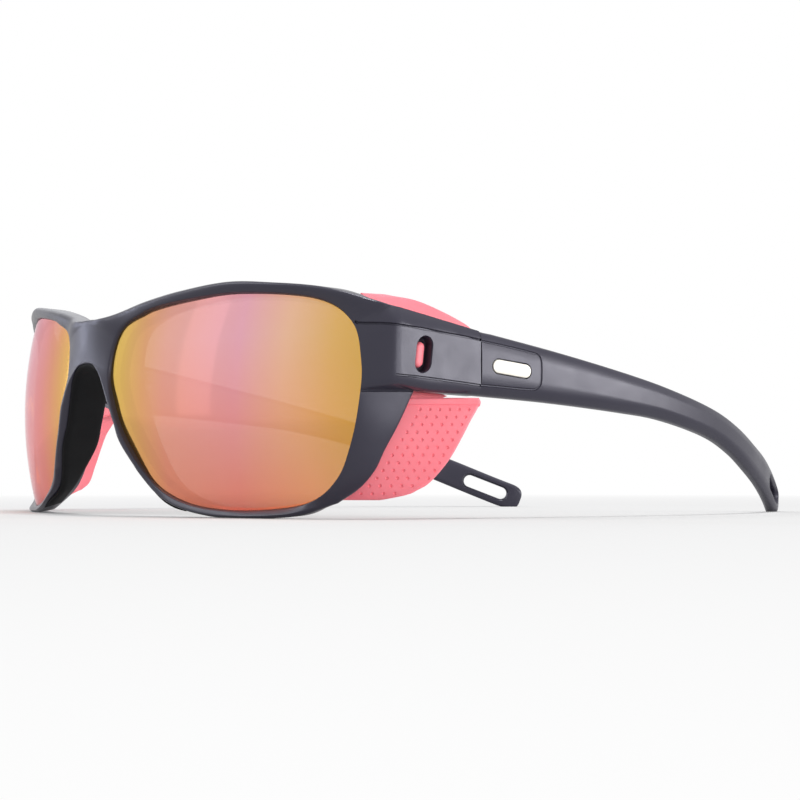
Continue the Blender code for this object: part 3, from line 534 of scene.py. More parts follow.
def dressPair(piece, coat, body, node):
    # the left piece and its mirror image on the right
    twin = mirrorCopy(piece, piece.name.replace("Left", "Right"))
    for side, half in (("left", piece), ("right", twin)):
        dress(half, coat, body.format(side), node.format(side))


# Front shell: sections all round a lens, with the bridge, the corner and the flange

# angles round the lens where the rim changes, and what the side and the corner do with height
rimAngles = {"middle": -195.0, "middleTurn": -10.0, "widening": 0.13, "arch": -150, "nose": -112, "foot": -45}
sideBands = {"upper": 35.55, "upperFall": 2.2, "leanPower": 1.6,
             "lower": 26.4, "lowerFall": 1.5, "under": 0.96}
frontCorner = {"wall": 1.5, "aim": 6.0, "fall": 1.28, "softer": 0.6, "softFrom": 35.5, "softOver": 3.7}


def rimKey(angle, width, setback, wall):
    edge = lensEdge(angle)[0]
    turn = math.radians(angle)
    return vec(edge[0] + width * math.cos(turn), edge[1] + setback, edge[2] + width * math.sin(turn),
               *wall, angle)


def archKey(drop, halfWidth):
    share = min(1.0, drop / front["flareDrop"])
    setback = front["noseSetback"] * ease(drop / front["arch"][-1][0])
    depth = front["bridgeDepth"] + (front["noseDepth"] - front["bridgeDepth"]) * share - setback / 2
    angle = rimAngles["middle"] + halfWidth + rimAngles["widening"] * halfWidth ** 2
    return vec(halfWidth, setback, front["archTop"] - drop, front["noseFlare"] * share, depth, 0.0, angle)


def sideLean(y, height, top, bottom):
    # the side leans in above the upper groove and turns under below the lower one
    along = clamp((y - cornerY) / front["endLength"])
    upper = sideBands["upper"] - sideBands["upperFall"] * along
    lower = sideBands["lower"] - sideBands["lowerFall"] * along
    over = clamp((height - upper) / (top - upper))
    under = clamp((lower - height) / (lower - bottom))
    leanIn = (front["lean"] - along) * over ** sideBands["leanPower"]
    return leanIn + front["turnUnder"] * (1 - math.sqrt(1 - sideBands["under"] * under ** 2))


def cornerKey(share):
    height = front["cornerTop"] + share * (front["cornerBottom"] - front["cornerTop"])
    angle = math.degrees(math.atan2(height - lensZ, sideX - lensX))
    lean = sideLean(cornerY, height, front["cornerTop"], front["cornerBottom"])
    return vec(sideX - lean, cornerY, height, lean - front["endThickness"], frontCorner["wall"], 0.0, angle)


browWall = (0.0, front["browDepth"], -0.3)
bridgeWall = (0.0, front["bridgeDepth"], -1.3)
flangeWall = (-front["flangeWall"], 0.3, 0.0)
turnWall = (-1.5, 0.8, 0.4)
cornerShares = [0.0, 0.012, 0.03, 0.05, 0.07, 0.1] + [0.15 + 0.05 * step for step in range(15)] + \
    [0.88, 0.91, 0.935, 0.955, 0.97, 0.985, 1.0]


def turnKey():
    # where the flange passes into the lower rim
    return rimKey(-41, 0.71 * front["sideRim"], 0.31 * front["flangeDepth"], turnWall)


def browStations():
    top, deep, thick = front["topRim"], front["browDepth"], front["endThickness"]
    keys = [
        vec(0.0, 0.0, front["bridgeTop"], *bridgeWall, 155.0),
        vec(lensShape["bridgeWidth"] * 0.27, 0.3, front["bridgeTop"], *bridgeWall, 151.5),
        rimKey(146, 1.85 * top, -0.7 * front["noseLip"], (0.0, deep, -1.0)),
        rimKey(134, 1.2 * top, -0.9, (0.0, deep, -0.6)),
        rimKey(113, top, -front["topLip"], browWall),
        rimKey(83, top, -front["topLip"], browWall),
        rimKey(60, top, -0.5, browWall),
        rimKey(46, 1.2 * top, -0.2, browWall),
        rimKey(37, 1.68 * top, 0.4, (-0.27 * thick, 0.8 * deep, -0.2)),
        rimKey(31.5, 2.5 * top, 0.65 * front["cornerSetback"], (-0.7 * thick, 0.44 * deep, -0.1)),
        cornerKey(0.0),
    ]
    keys[-2][2] -= front["cornerDip"]
    return smoothCurve(keys, front["steps"])


def flangeStations():
    side, deep = front["sideRim"], front["flangeDepth"]
    rows = [(3.3, 1.0, 1.0), (-8.5, 1.0, 0.76), (-17, 1.0, 0.60), (-25, 1.0, 0.51), (-32.5, 0.86, 0.42)]
    keys = [rimKey(angle, wide * side, back * deep, flangeWall) for angle, wide, back in rows]
    return smoothCurve(keys + [turnKey()], front["steps"])


def lowerStations():
    rim, deep = lensShape["bottomRim"], front["footDepth"]
    keys = [
        turnKey(),
        rimKey(-51, 1.25 * rim, -0.4, (-0.6, 3.9, 0.3)),
        rimKey(-66, rim, -0.75, (0.0, deep, 0.3)),
        rimKey(-82, rim, -0.5, (0.0, deep, 0.6)),
        rimKey(-105, 0.9 * rim, -0.5, (0.0, deep, 1.0)),
        rimKey(-122, 0.9 * rim, -0.6, (0.3, deep, 1.4)),
        rimKey(-139, 1.1 * rim, 0.3, (0.6 * front["noseFlare"], 0.5 * front["noseDepth"], 1.5)),
    ]
    keys += [archKey(drop, halfWidth) for drop, halfWidth in reversed(front["arch"])]
    return smoothCurve(keys, front["steps"])[1:]


def bridgeStations():
    # up the middle of the bridge, clear of its rounded edges
    low, high = front["archTop"], front["bridgeTop"]
    stations = []
    ends = (low + 2 * front["archRound"], high - 1.4 * front["edgeRound"])
    for height in np.linspace(*ends, front["bridgeRows"]):
        share = (height - low) / (high - low)
        angle = rimAngles["middle"] + share * rimAngles["middleTurn"]
        stations.append(vec(0.0, 0.0, height, *bridgeWall, angle))
    return stations


# angle, how far the rim stands up round the lens there, and how deep it runs behind it
lips = [(-270, "topLip", 2.4), (-180, "noseLip", 6.2), (-140, "lowLip", 4.5), (-90, "bottomLip", 2.4),
        (-70, "lowLip", 2.0), (0, "sideLip", 1.2), (90, "topLip", 2.4), (180, "noseLip", 6.2)]
lipSides = [side for side, name, depth in lips]
lipHeights = [front[name] for side, name, depth in lips]
lipDepths = [depth for side, name, depth in lips]
faceSteps, turnSteps, insideSteps = 6, 4, 2
outerAt = (turnSteps + 1) + (faceSteps - 1) + turnSteps
rearAt = outerAt + 1


def rimSection(station, kind):
    edgeFront = np.array(station[:3])
    edgeFront[2] = max(edgeFront[2], 0.0)
    edgeRear = edgeFront + station[3:6]
    edgeRear[2] = max(edgeRear[2], 0.0)
    angle = station[6]
    edge, normal, across = lensEdge(angle)
    lip = edge + front["seat"] * across + np.interp(angle, lipSides, lipHeights) * normal
    edge = edge - vec(0.0, noseAhead(edge[0], edge[2]), 0.0)
    seat = edge + front["seat"] * across
    grooveFloor = edge + (lensShape["bevel"] + front["seat"]) * across - lensShape["thickness"] / 2 * normal
    grooveRear = seat - lensShape["thickness"] * normal
    innerRear = grooveRear + vec(0.0, np.interp(angle, lipSides, lipDepths), 0.0)
    swell = (lip + edgeFront) / 2 + 2 * front["crown"] * normal
    if kind != "flange":
        # level across the middle of the bridge
        swell[1] += ease(1 - edgeFront[0] / front["levelReach"]) * (edgeFront[1] - swell[1])
    edgeRound = front["archRound"] if angle < rimAngles["arch"] else front["edgeRound"]
    rearAim = edgeRear
    if kind == "corner":
        over = (edgeFront[2] - front["cornerBottom"]) / (front["cornerTop"] - front["cornerBottom"])
        rearAim = edgeFront + vec(0.0, frontCorner["aim"], -frontCorner["fall"] * over)
        rise = (edgeFront[2] - frontCorner["softFrom"]) / frontCorner["softOver"]
        edgeRound += frontCorner["softer"] * ease(rise)
    lipTurn = roundCorner(seat, lip, swell, front["lipRound"], turnSteps)
    # towards the middle the edges of the bridge are rounded straight up or down
    upright = vec(0.0, 0.0, -math.copysign(front["uprightAim"], angle))
    middle = ease(1 - edgeFront[0] / front["uprightReach"])
    frontAim = edgeFront + middle * upright + (1 - middle) * (swell - edgeFront)
    behindAim = edgeRear + middle * upright + (1 - middle) * (innerRear - edgeRear)
    rearRound = front["archRound"] if angle < rimAngles["nose"] else front["rearRound"]
    most = front["footShare"] if rimAngles["arch"] < angle < rimAngles["foot"] else roundShare
    outerTurn = roundCorner(frontAim, edgeFront, rearAim, edgeRound, turnSteps, most)
    rearTurn = roundCorner(edgeFront, edgeRear, behindAim, rearRound, turnSteps)
    if kind == "bridge":
        outerTurn = [edgeFront] + [None] * turnSteps
        rearTurn = [None] * turnSteps + [edgeRear]
    face = softTurn(lipTurn[-1], swell, outerTurn[0], faceSteps)[1:-1]
    inside = roundCorner(edgeRear, innerRear, grooveRear, front["insideRound"], insideSteps)
    return lipTurn + face + outerTurn + rearTurn + inside + [grooveRear, grooveFloor, seat]


def frontStations():
    corner = [cornerKey(share) for share in cornerShares]
    runs = [("rim", browStations()[:-1]), ("corner", corner), ("flange", flangeStations()),
            ("rim", lowerStations()), ("bridge", bridgeStations())]
    return [(station, kind) for kind, run in runs for station in run]


def endPieceRings():
    rings = []
    endY = partingY - front["hingeGap"] / 2
    firstY = cornerY + front["flangeDepth"] - front["cornerSetback"] + front["endLap"]
    for step in range(front["endRows"] + 1):
        y = firstY + step / front["endRows"] * (endY - firstY)
        along = (y - cornerY) / front["endLength"]
        top = front["cornerTop"] + along * (front["hingeTop"] - front["cornerTop"])
        bottom = front["cornerBottom"] + math.sqrt(along) * (front["hingeBottom"] - front["cornerBottom"])
        ring = []
        for level in cornerShares:
            height = top + level * (bottom - top)
            ring.append(vec(sideX - sideLean(y, height, top, bottom), y, height))
        ring.append(vec(sideX - front["flangeWall"], y, bottom))
        ring.append(vec(innerX, y, bottom))
        innerBottom = bottom + front["innerRise"]
        ring += [vec(innerX, y, top + level * (innerBottom - top)) for level in reversed(cornerShares)]
        rings.append(ring)
    return rings


def frontShell():
    points, faces = [], []

    def keep(section):
        numbers = []
        for point in section:
            numbers.append(None if point is None else len(points))
            if point is not None:
                points.append(point)
        return numbers

    def join(ring, following, leftOut=()):
        for side in range(len(ring)):
            after = (side + 1) % len(ring)
            if side not in leftOut:
                faces.append((ring[side], ring[after], following[after], following[side]))

    stations = frontStations()
    kinds = [kind for station, kind in stations]
    sections = [keep(rimSection(station, kind)) for station, kind in stations]
    for number, section in enumerate(sections):
        following = (number + 1) % len(sections)
        leftOut = ()
        if "bridge" in (kinds[number], kinds[following]):
            leftOut = range(outerAt - turnSteps, rearAt + turnSteps)
        elif kinds[number] == "corner":
            leftOut = (outerAt,)
        join(section, sections[following], leftOut)
    corners = [section for section, kind in zip(sections, kinds) if kind == "corner"]
    flange = sections[kinds.index("flange")]
    root = [section[outerAt] for section in corners] + [flange[outerAt], flange[rearAt]]
    root += [section[rearAt] for section in reversed(corners)]
    rings = [root] + [keep(ring) for ring in endPieceRings()]
    for ring, following in zip(rings, rings[1:]):
        join(ring, following)
    faces.append(tuple(rings[-1]))

    mesh = bpy.data.meshes.new("frontShell")
    mesh.from_pydata([toWorld(point) for point in points], [], faces)
    shell = bpy.data.objects.new("frontShell", mesh)
    bpy.context.scene.collection.objects.link(shell)
    applyModifier(shell, "MIRROR", use_clip=True, use_mirror_merge=True,
                  merge_threshold=front["mergeGap"] * mm)
    facesOut(shell)
    return shell


grooves = {
    "radius": 0.29, "sink": 0.13, "runOut": 1.5, "ledgeRunOut": 2.5, "templeRadius": 0.26,
    "templeRunOut": 1.2,
    "upper": [(65.4, 19.2, 36.35), (67.0, 21.5, 36.15), (68.6, 24.0, 35.87), (69.9, 26.4, 35.54),
              (70.0, 31.7, 35.04), (70.0, 38.6, 34.25), (70.0, 45.2, 33.47)],
    "lower": [(69.9, 26.4, 26.35), (70.0, 31.7, 26.05), (70.0, 38.6, 25.5), (70.0, 45.2, 24.92)],
    "temple": [(70.1, 46.9, 33.16), (70.2, 50.2, 32.71), (70.4, 55.1, 31.99), (70.5, 58.0, 31.48),
               (70.5, 59.4, 31.1), (70.5, 60.1, 30.3), (70.5, 60.26, 29.0), (70.5, 60.26, 27.4),
               (70.5, 60.1, 25.6), (70.5, 59.3, 24.6), (70.5, 58.0, 24.3), (70.4, 55.1, 24.34),
               (70.3, 50.2, 24.6), (70.1, 46.9, 24.78)],
}
ventSlot = {
    "mouth": (6.6, 3.4), "depth": 2.4, "floorRound": 0.2, "through": 7.0, "clear": 0.15, "tilt": 0.12,
    "mouthEdge": [(-0.45, 0.0), (-0.2, 0.06), (0.0, 0.2), (0.5, 0.7)],
    "tab": (4.8, 2.1), "tabEnd": 1.2, "tabEdge": [(0.6, 0.0), (0.25, 0.15), (0.05, 0.4), (0.0, 0.7)],
}
slotAxes = [vec(1, 0, 0), vec(0, ventSlot["tilt"], 1), vec(0, 1, 0)]


def ventCutter():
    # a wide mouth outside, and inside it a hole that just takes the shield's tab
    tight = grow(ventSlot["tab"], ventSlot["clear"])
    mouth, floor, turn = ventSlot["mouth"], -ventSlot["depth"], ventSlot["floorRound"]
    rows = [(-ventSlot["through"], *tight), (floor, *tight)]
    rows += [(floor, *grow(mouth, -turn)), (floor + turn, *mouth)]
    rows += [(reach, *grow(mouth, amount)) for reach, amount in ventSlot["mouthEdge"]]
    return stadiumRod("ventCutter", slotPlace, *slotAxes, rows)


def cutBothSides(piece, cutter):
    twin = mirrorCopy(cutter, cutter.name + "Twin")
    carve(piece, cutter)
    carve(piece, twin)


def ledgeSpots():
    # straight along the flange's upper edge, from the lens to the outside and past it
    section = rimSection(flangeStations()[0], "flange")
    path = section[turnSteps:outerAt - turnSteps + 1]
    path.append(path[-1] + grooves["ledgeRunOut"] * unit(path[-1] - path[-2]))
    return [(point, vec(0, 0, -1)) for point in path]


shell = frontShell()
surface = surfaceOf(shell)
for line in ("upper", "lower"):
    spots = layOn([vec(*point) for point in grooves[line]], surface, grooves["sink"], after=grooves["runOut"])
    cutBothSides(shell, grooveCutter(line + "Groove", spots, grooves["radius"]))
cutBothSides(shell, grooveCutter("ledgeGroove", ledgeSpots(), grooves["radius"]))
cutBothSides(shell, ventCutter())
smoothByAngle(shell, creases["shell"])
dress(shell, frameNylon, "front", "front_frame")
print("front shell made:", len(shell.data.polygons), "faces")


# Lenses

lensDetail = {"around": 160, "rings": 22, "hub": 0.012}


def lensSurface():
    angles = [360 * step / lensDetail["around"] for step in range(lensDetail["around"])]
    edges = [lensEdge(angle) for angle in angles]
    shares = [lensDetail["hub"]] + [(step + 1) / lensDetail["rings"] for step in range(lensDetail["rings"])]

    def ring(share, depth):
        points = [vec(lensX, 0.0, lensZ) * (1 - share) + share * edge for edge, normal, across in edges]
        return [lensPoint(point[0], point[2], depth) for point in points]

    middle = [edge + lensShape["bevel"] * across - lensShape["thickness"] / 2 * normal
              - vec(0.0, noseAhead(edge[0], edge[2]), 0.0) for edge, normal, across in edges]
    rings = [ring(share, 0.0) for share in shares] + [middle]
    rings += [ring(share, lensShape["thickness"]) for share in reversed(shares)]
    return extrudeRings("lensLeft", rings)


lensLeft = lensSurface()
smoothByAngle(lensLeft, creases["lens"])
dressPair(lensLeft, lensMirror, "front", "lens_{}")
print("lenses made")


# Nose saddle

saddle = {"thickness": 0.9, "seat": 0.02, "frontInset": 0.1, "rearInset": -0.15, "edge": 0.5, "round": 0.5,
          "roundSteps": 3, "endAngle": -108.0, "endRows": 8, "endThickness": 0.05}


def noseSaddle():
    half = [station for station in lowerStations() if station[6] < saddle["endAngle"]]
    mirror = vec(-1, 1, 1, -1, 1, 1, 1)
    path = half + [station * mirror for station in reversed(half[:-1])]
    rings = []
    for number, station in enumerate(path):
        before = path[max(number - 1, 0)]
        after = path[min(number + 1, len(path) - 1)]
        wall = station[3:6]
        along = unit(wall)
        normal = unit(np.cross(after[:3] - before[:3], wall))
        toEnd = min(number, len(path) - 1 - number) / saddle["endRows"]
        rise = saddle["thickness"] * math.sqrt(ease(saddle["endThickness"] + toEnd)) * normal
        base = saddle["seat"] * normal
        start = station[:3] + saddle["frontInset"] * along + base
        end = station[:3] + wall - saddle["rearInset"] * along + base
        edge = saddle["edge"] * unit(end - start)
        outline = [start, start + 0.4 * edge + 0.7 * rise, start + 2 * edge + rise, end - 2 * edge + rise,
                   end - 0.4 * edge + 0.7 * rise, end]
        ring = roundLoop(outline, saddle["round"], saddle["roundSteps"])
        rings.append([vec(point[0], point[1], max(point[2], 0.0)) for point in ring])
    return extrudeRings("noseSaddle", rings)


nosePiece = noseSaddle()
smoothByAngle(nosePiece, creases["saddle"])
dress(nosePiece, noseRubber, "front", "nose_saddle")
print("nose saddle made")


# Side shields

shield = {
    "wall": 1.3, "inset": 1.5, "tuck": 0.8, "front": 1.4, "neck": 11.0, "heel": 16.0, "curl": 4.0,
    "topReach": 22.0, "topAhead": 2.6, "lowReach": 18.2, "lap": 0.4, "topRise": 20.2, "bottom": 3.3,
    "clear": 0.5, "edgeRound": 0.45, "thinEdge": 0.4, "fullAt": 1.5, "flare": 1.0, "lipDrop": 1.25,
    "lipRise": 0.28, "lipReach": 0.25, "lobeColumns": 48, "panelColumns": 40, "panelSteps": 4,
    "lipFade": 0.2, "lipStep": 0.14, "aheadRise": 1.4, "upperSteps": 6, "lowerSteps": 12, "rimStations": 12,
    "upper": [(1.0, 0.08), (0.93, 0.19), (0.82, 0.42), (0.53, 0.67), (0.18, 0.92), (0.0, 1.0)],
    "lower": [(0.0, 0.98, 1.0), (0.06, 1.0, 1.0), (0.22, 0.88, 1.0), (0.41, 0.77, 0.9), (0.615, 0.65, 0.72),
              (0.80, 0.51, 0.42), (0.885, 0.36, 0.25), (0.945, 0.25, 0.06), (1.0, 0.02, -0.5)],
    "root": [(1.5, 5.5), (4.0, 3.5)],
}
pits = {"columns": 6, "rows": 12, "first": 3.55, "firstShift": 0.15, "pitch": 1.68,
        "top": 2.15, "step": 1.42, "radius": 0.35, "lift": 0.1, "margin": 0.9, "probe": 0.3,
        "segments": 12, "rings": 8}
# the flange and the first stretch of the lower rim, from the bottom up
flangePath = flangeStations() + lowerStations()[:shield["rimStations"]]
flangePath.sort(key=lambda station: station[2])
flangeHeights = [station[2] for station in flangePath]


def flangeCurve(height):
    rear = np.interp(height, flangeHeights, [station[1] + station[4] for station in flangePath])
    inside = np.interp(height, flangeHeights, [station[0] + station[3] for station in flangePath])
    return rear, inside


shieldX = flangeCurve(front["cornerBottom"])[1] - shield["inset"]
lobeTop = front["hingeBottom"] - shield["clear"]
lobeShares = np.array(smoothCurve([vec(*row) for row in shield["lower"]], shield["lowerSteps"]))


def lobeRow(depth):
    # front and rear ends of the lower lobe, this far below its top edge
    drop = depth / (lobeTop - shield["bottom"])
    share = np.interp(drop, lobeShares[:, 0], lobeShares[:, 1])
    flare = np.interp(drop, lobeShares[:, 0], lobeShares[:, 2])
    rear, face = flangeCurve(lobeTop - depth)
    start = cornerY + shield["front"]
    y = start + share * (shield["lowReach"] - shield["front"])
    y += shield["lipReach"] * (1 - ease((depth - shield["lipDrop"]) / shield["lipFade"]))
    x = shieldX + flare * (sideX + shield["flare"] - shieldX)
    return vec(face - shield["inset"], rear - shield["tuck"], lobeTop - depth), vec(x, y, lobeTop - depth)


def upperRows():
    notchTop = front["hingeTop"] + shield["clear"]
    notchBottom = front["hingeBottom"] - shield["clear"]
    start = cornerY + shield["front"]
    reach = shield["topReach"] - shield["front"]
    inside = shieldX - shield["lap"]
    rows = []
    for rise, share in smoothCurve([vec(*row) for row in shield["upper"]], shield["upperSteps"]):
        height = notchTop + rise * (lensZ + shield["topRise"] - notchTop)
        curl = rise * shield["curl"]
        ahead = shield["topAhead"] * ease(rise * shield["aheadRise"])
        rows.append((vec(inside - curl, start - ahead, height),
                     vec(inside - curl * (1 - share), start + share * reach, height)))
    neck, clear = shield["neck"], shield["clear"]
    for height, back in ((notchTop - clear, neck), (slotPlace[2], neck), (notchBottom + 4 * clear, neck),
                         (notchBottom + clear, shield["heel"])):
        rows.append((vec(inside, start, height), vec(inside, cornerY + back, height)))
    for drop, width in shield["root"]:
        rear, face = flangeCurve(notchBottom - drop)
        x = face - shield["inset"] - shield["lap"]
        rows.append((vec(x, rear, notchBottom - drop), vec(x, rear + width, notchBottom - drop)))
    return rows


def gridNormals(grid):
    normals = np.cross(np.gradient(grid, axis=0), np.gradient(grid, axis=1))
    normals /= np.maximum(np.linalg.norm(normals, axis=2), 1e-9)[:, :, None]
    return normals * np.where(normals[:, :, :1] < 0, -1.0, 1.0)


def edgeFall(distance):
    radius = shield["edgeRound"]
    inside = np.clip(radius - distance, 0.0, radius)
    return radius - np.sqrt(radius ** 2 - inside ** 2)


def sheetGrid(rows, columns):
    # columns gather towards the front and rear edges, where the sheet is rounded
    shares = (1 - np.cos(np.linspace(0.0, math.pi, columns))) / 2
    return np.array([[start + share * (end - start) for share in shares] for start, end in rows])


def borderDistance(grid):
    fromFront = np.linalg.norm(grid - grid[:, :1], axis=2)
    fromRear = np.linalg.norm(grid - grid[:, -1:], axis=2)
    fromTop = np.abs(grid[:, :, 2] - grid[:1, :, 2])
    fromBottom = np.abs(grid[:, :, 2] - grid[-1:, :, 2])
    return np.minimum(np.minimum(fromFront, fromRear), np.minimum(fromTop, fromBottom))


def thickSheet(name, grid, rise):
    # the sheet's outer face, rounded at its edges, then thickened inwards to thinner edges
    border = borderDistance(grid)
    outer = grid + (rise[:, None] - edgeFall(border))[:, :, None] * gridNormals(grid)
    sheet = gridSheet(name, outer)
    if sum(face.normal.x * face.area for face in sheet.data.polygons) < 0:
        sheet.data.flip_normals()
    fullness = sheet.vertex_groups.new(name="fullness")
    weights = np.clip(shield["thinEdge"] + border / shield["fullAt"], 0.0, 1.0).ravel()
    for number, weight in enumerate(weights):
        fullness.add([number], float(weight), "REPLACE")
    applyModifier(sheet, "SOLIDIFY", thickness=shield["wall"] * mm, offset=-1.0, vertex_group="fullness")
    sheet.vertex_groups.clear()
    return sheet


def lowerLobe():
    height = lobeTop - shield["bottom"]
    lip = shield["lipDrop"]
    depths = [0.0, 0.07, 0.16, 0.28, 0.45, 0.75, lip - 0.12, lip, lip + 0.06, lip + 0.14, lip + 0.25]
    depths += list(np.linspace(lip + 0.6, height - 0.6, 46))
    depths += [height - step for step in (0.4, 0.25, 0.12, 0.05, 0.0)]
    grid = sheetGrid([lobeRow(depth) for depth in depths], shield["lobeColumns"])
    rise = np.array([shield["lipRise"] * (1 - ease((depth - lip) / shield["lipStep"])) for depth in depths])
    return thickSheet("shieldLobeLeft", grid, rise)


def lobePoint(depth, share):
    low, high = lobeRow(depth)
    return low + share * (high - low)


def pitCutter():
    deselect()
    balls = []
    for row in range(pits["rows"]):
        depth = pits["top"] + pits["step"] * row
        low, high = lobeRow(depth)
        first = flangeCurve(lobeTop - depth)[0] + pits["first"] - pits["firstShift"] * row
        for y in [first + pits["pitch"] * column for column in range(pits["columns"])]:
            if y > high[1] - pits["margin"]:
                continue
            share = (y - low[1]) / (high[1] - low[1])
            upward = lobePoint(depth - pits["probe"], share) - lobePoint(depth + pits["probe"], share)
            centre = lobePoint(depth, share) + pits["lift"] * unit(np.cross(high - low, upward))
            bpy.ops.mesh.primitive_uv_sphere_add(segments=pits["segments"], ring_count=pits["rings"],
                                                 radius=pits["radius"] * mm, location=toWorld(centre))
            balls.append(bpy.context.active_object)
    for ball in balls:
        ball.select_set(True)
    bpy.ops.object.join()
    return bpy.context.active_object


def upperPanel():
    rows = upperRows()
    dense = []
    for low, high in zip(rows, rows[1:]):
        for share in np.arange(shield["panelSteps"]) / shield["panelSteps"]:
            dense.append(tuple(start + share * (end - start) for start, end in zip(low, high)))
    grid = sheetGrid(dense + [rows[-1]], shield["panelColumns"])
    return thickSheet("shieldPanelLeft", grid, np.zeros(len(grid)))


def shieldTab():
    root = shieldX - shield["lap"] - shield["wall"] / 2 - sideX
    rows = [(root, *ventSlot["tab"])]
    for back, amount in ventSlot["tabEdge"]:
        rows.append((-ventSlot["tabEnd"] - back, *grow(ventSlot["tab"], -amount)))
    return stadiumRod("shieldTabLeft", slotPlace, *slotAxes, rows)


lobe = lowerLobe()
carve(lobe, pitCutter())
for piece in (lobe, upperPanel(), shieldTab()):
    smoothByAngle(piece, creases["shield"])
    dressPair(piece, coralPlastic, "shield_{}", "side_shield_{}")
print("side shields made:", len(lobe.data.polygons), "faces in a lobe")


# Temples

temple = {
    "reach": 101.2, "bow": 3.7, "curl": 25.5, "curlPower": 3.2, "chamfer": 0.9, "round": 1.3, "rings": 96,
    "roundSteps": 4, "sectionSteps": 10,
    "tipRise": 2.95, "tipLength": 0.7, "tipThin": 0.45, "tipRings": 10,
    "probe": 0.004, "straightTo": 0.02, "endRun": (0.97, 0.99),
    "sections": [(0.000, 0.000, None, 1.00), (0.172, 0.080, 10.0, 0.93), (0.364, 0.184, 7.8, 0.87),
                 (0.479, 0.257, 6.6, 0.82), (0.632, 0.393, 5.95, 0.75), (0.732, 0.527, 5.95, 0.70),
                 (0.813, 0.666, 6.2, 0.66), (0.885, 0.787, 6.5, 0.63), (1.000, 1.000, 6.5, 0.62)],
}
cordSlot = {"size": (11.6, 3.0), "land": 3.2, "edge": [(0.8, 0.0), (0.35, 0.12), (0.0, 0.5)], "past": 1.1,
            "steps": 12}
inlay = {"size": (9.0, 2.6), "thickness": 0.8, "proud": 0.15, "reach": 7.0, "seat": 0.22, "seatDrop": 0.05,
         "seatTop": 2.0, "edge": [(0.2, 0.0), (0.06, 0.05), (0.0, 0.2)]}
sectionRows = [vec(row[0], row[1], row[2] or front["hingeTop"] - front["hingeBottom"], row[3])
               for row in temple["sections"]]
sectionColumns = np.array(smoothCurve(sectionRows, temple["sectionSteps"])).T


def templePath(share):
    drop, height, thickness = [np.interp(share, sectionColumns[0], column) for column in sectionColumns[1:]]
    y = partingY + front["hingeGap"] / 2 + share * temple["reach"]
    x = sideX + temple["bow"] * share - temple["curl"] * max(share, 0.0) ** temple["curlPower"]
    z = hingeZ + drop * (temple["tipRise"] - hingeZ)
    return vec(x, y, z), height, thickness * front["endThickness"]


def templeFrame(share):
    place, height, thickness = templePath(share)
    start, end = share - temple["probe"], share + temple["probe"]
    if share > temple["endRun"][1]:
        start, end = temple["endRun"]
    run = unit(templePath(end)[0] - templePath(start)[0])
    if share < temple["straightTo"]:
        run = vec(0.0, 1.0, 0.0)
    outward = unit(vec(run[1], -run[0], 0.0))
    return SimpleNamespace(middle=place - thickness / 2 * outward, run=run, upward=np.cross(outward, run),
                           outward=outward, height=height, thickness=thickness)


def templeRing(at, along=0.0, highShare=1.0, thickShare=1.0):
    high, thick = at.height * highShare / 2, at.thickness * thickShare / 2
    middle = at.middle + along * at.run
    cut = min(temple["chamfer"], 0.4 * high, 0.4 * thick)
    bulge = 0.12 * thick
    outline = [(thick, 0.45 * high), (thick, -0.4 * high), (thick - bulge, 1.9 * cut - high),
               (thick - 1.7 * cut, -high), (cut - thick, -high), (-thick, cut - high), (-thick, high - cut),
               (cut - thick, high), (thick - 0.9 * cut, high), (thick - bulge, high - 1.5 * cut)]
    points = [middle + across * at.outward + up * at.upward for across, up in outline]
    ring = roundLoop(points, temple["round"], temple["roundSteps"])
    for point in ring:
        point[2] = max(point[2], 0.0)
    return ring


def templeArm():
    rings = [templeRing(templeFrame(step / temple["rings"])) for step in range(temple["rings"] + 1)]
    end = templeFrame(1.0)
    for step in range(1, temple["tipRings"]):
        share = math.sin(math.pi / 2 * step / temple["tipRings"])
        rings.append(templeRing(end, share * (end.height / 2 + temple["tipLength"]),
                                (1 - share ** 3) ** (1 / 3), 1 - temple["tipThin"] * share ** 3))
    return extrudeRings("templeLeft", rings)


def cordSlotCutter():
    at = templeFrame(1.0)
    end = at.middle + at.height / 2 * at.run
    toCentre = cordSlot["land"] + cordSlot["size"][0] / 2
    along = unit(end - templeFrame(1.0 - (toCentre - at.height / 2) / temple["reach"]).middle)
    across = unit(np.cross(at.outward, along))
    half = at.thickness / 2
    outer = [(half - back, amount) for back, amount in cordSlot["edge"]] + [(3 * half, cordSlot["past"])]
    both = [(-depth, amount) for depth, amount in reversed(outer)] + outer
    rows = [(depth, *grow(cordSlot["size"], amount)) for depth, amount in both]
    return stadiumRod("cordSlotCutter", end - toCentre * along, at.outward, along, across, rows,
                      cordSlot["steps"])


def inlayBar(name, profile):
    at = templeFrame(inlay["reach"] / temple["reach"])
    face = at.middle + at.thickness / 2 * at.outward
    rows = [(depth, *grow(inlay["size"], amount)) for depth, amount in profile]
    return stadiumRod(name, face, at.outward, at.run, at.upward, rows)


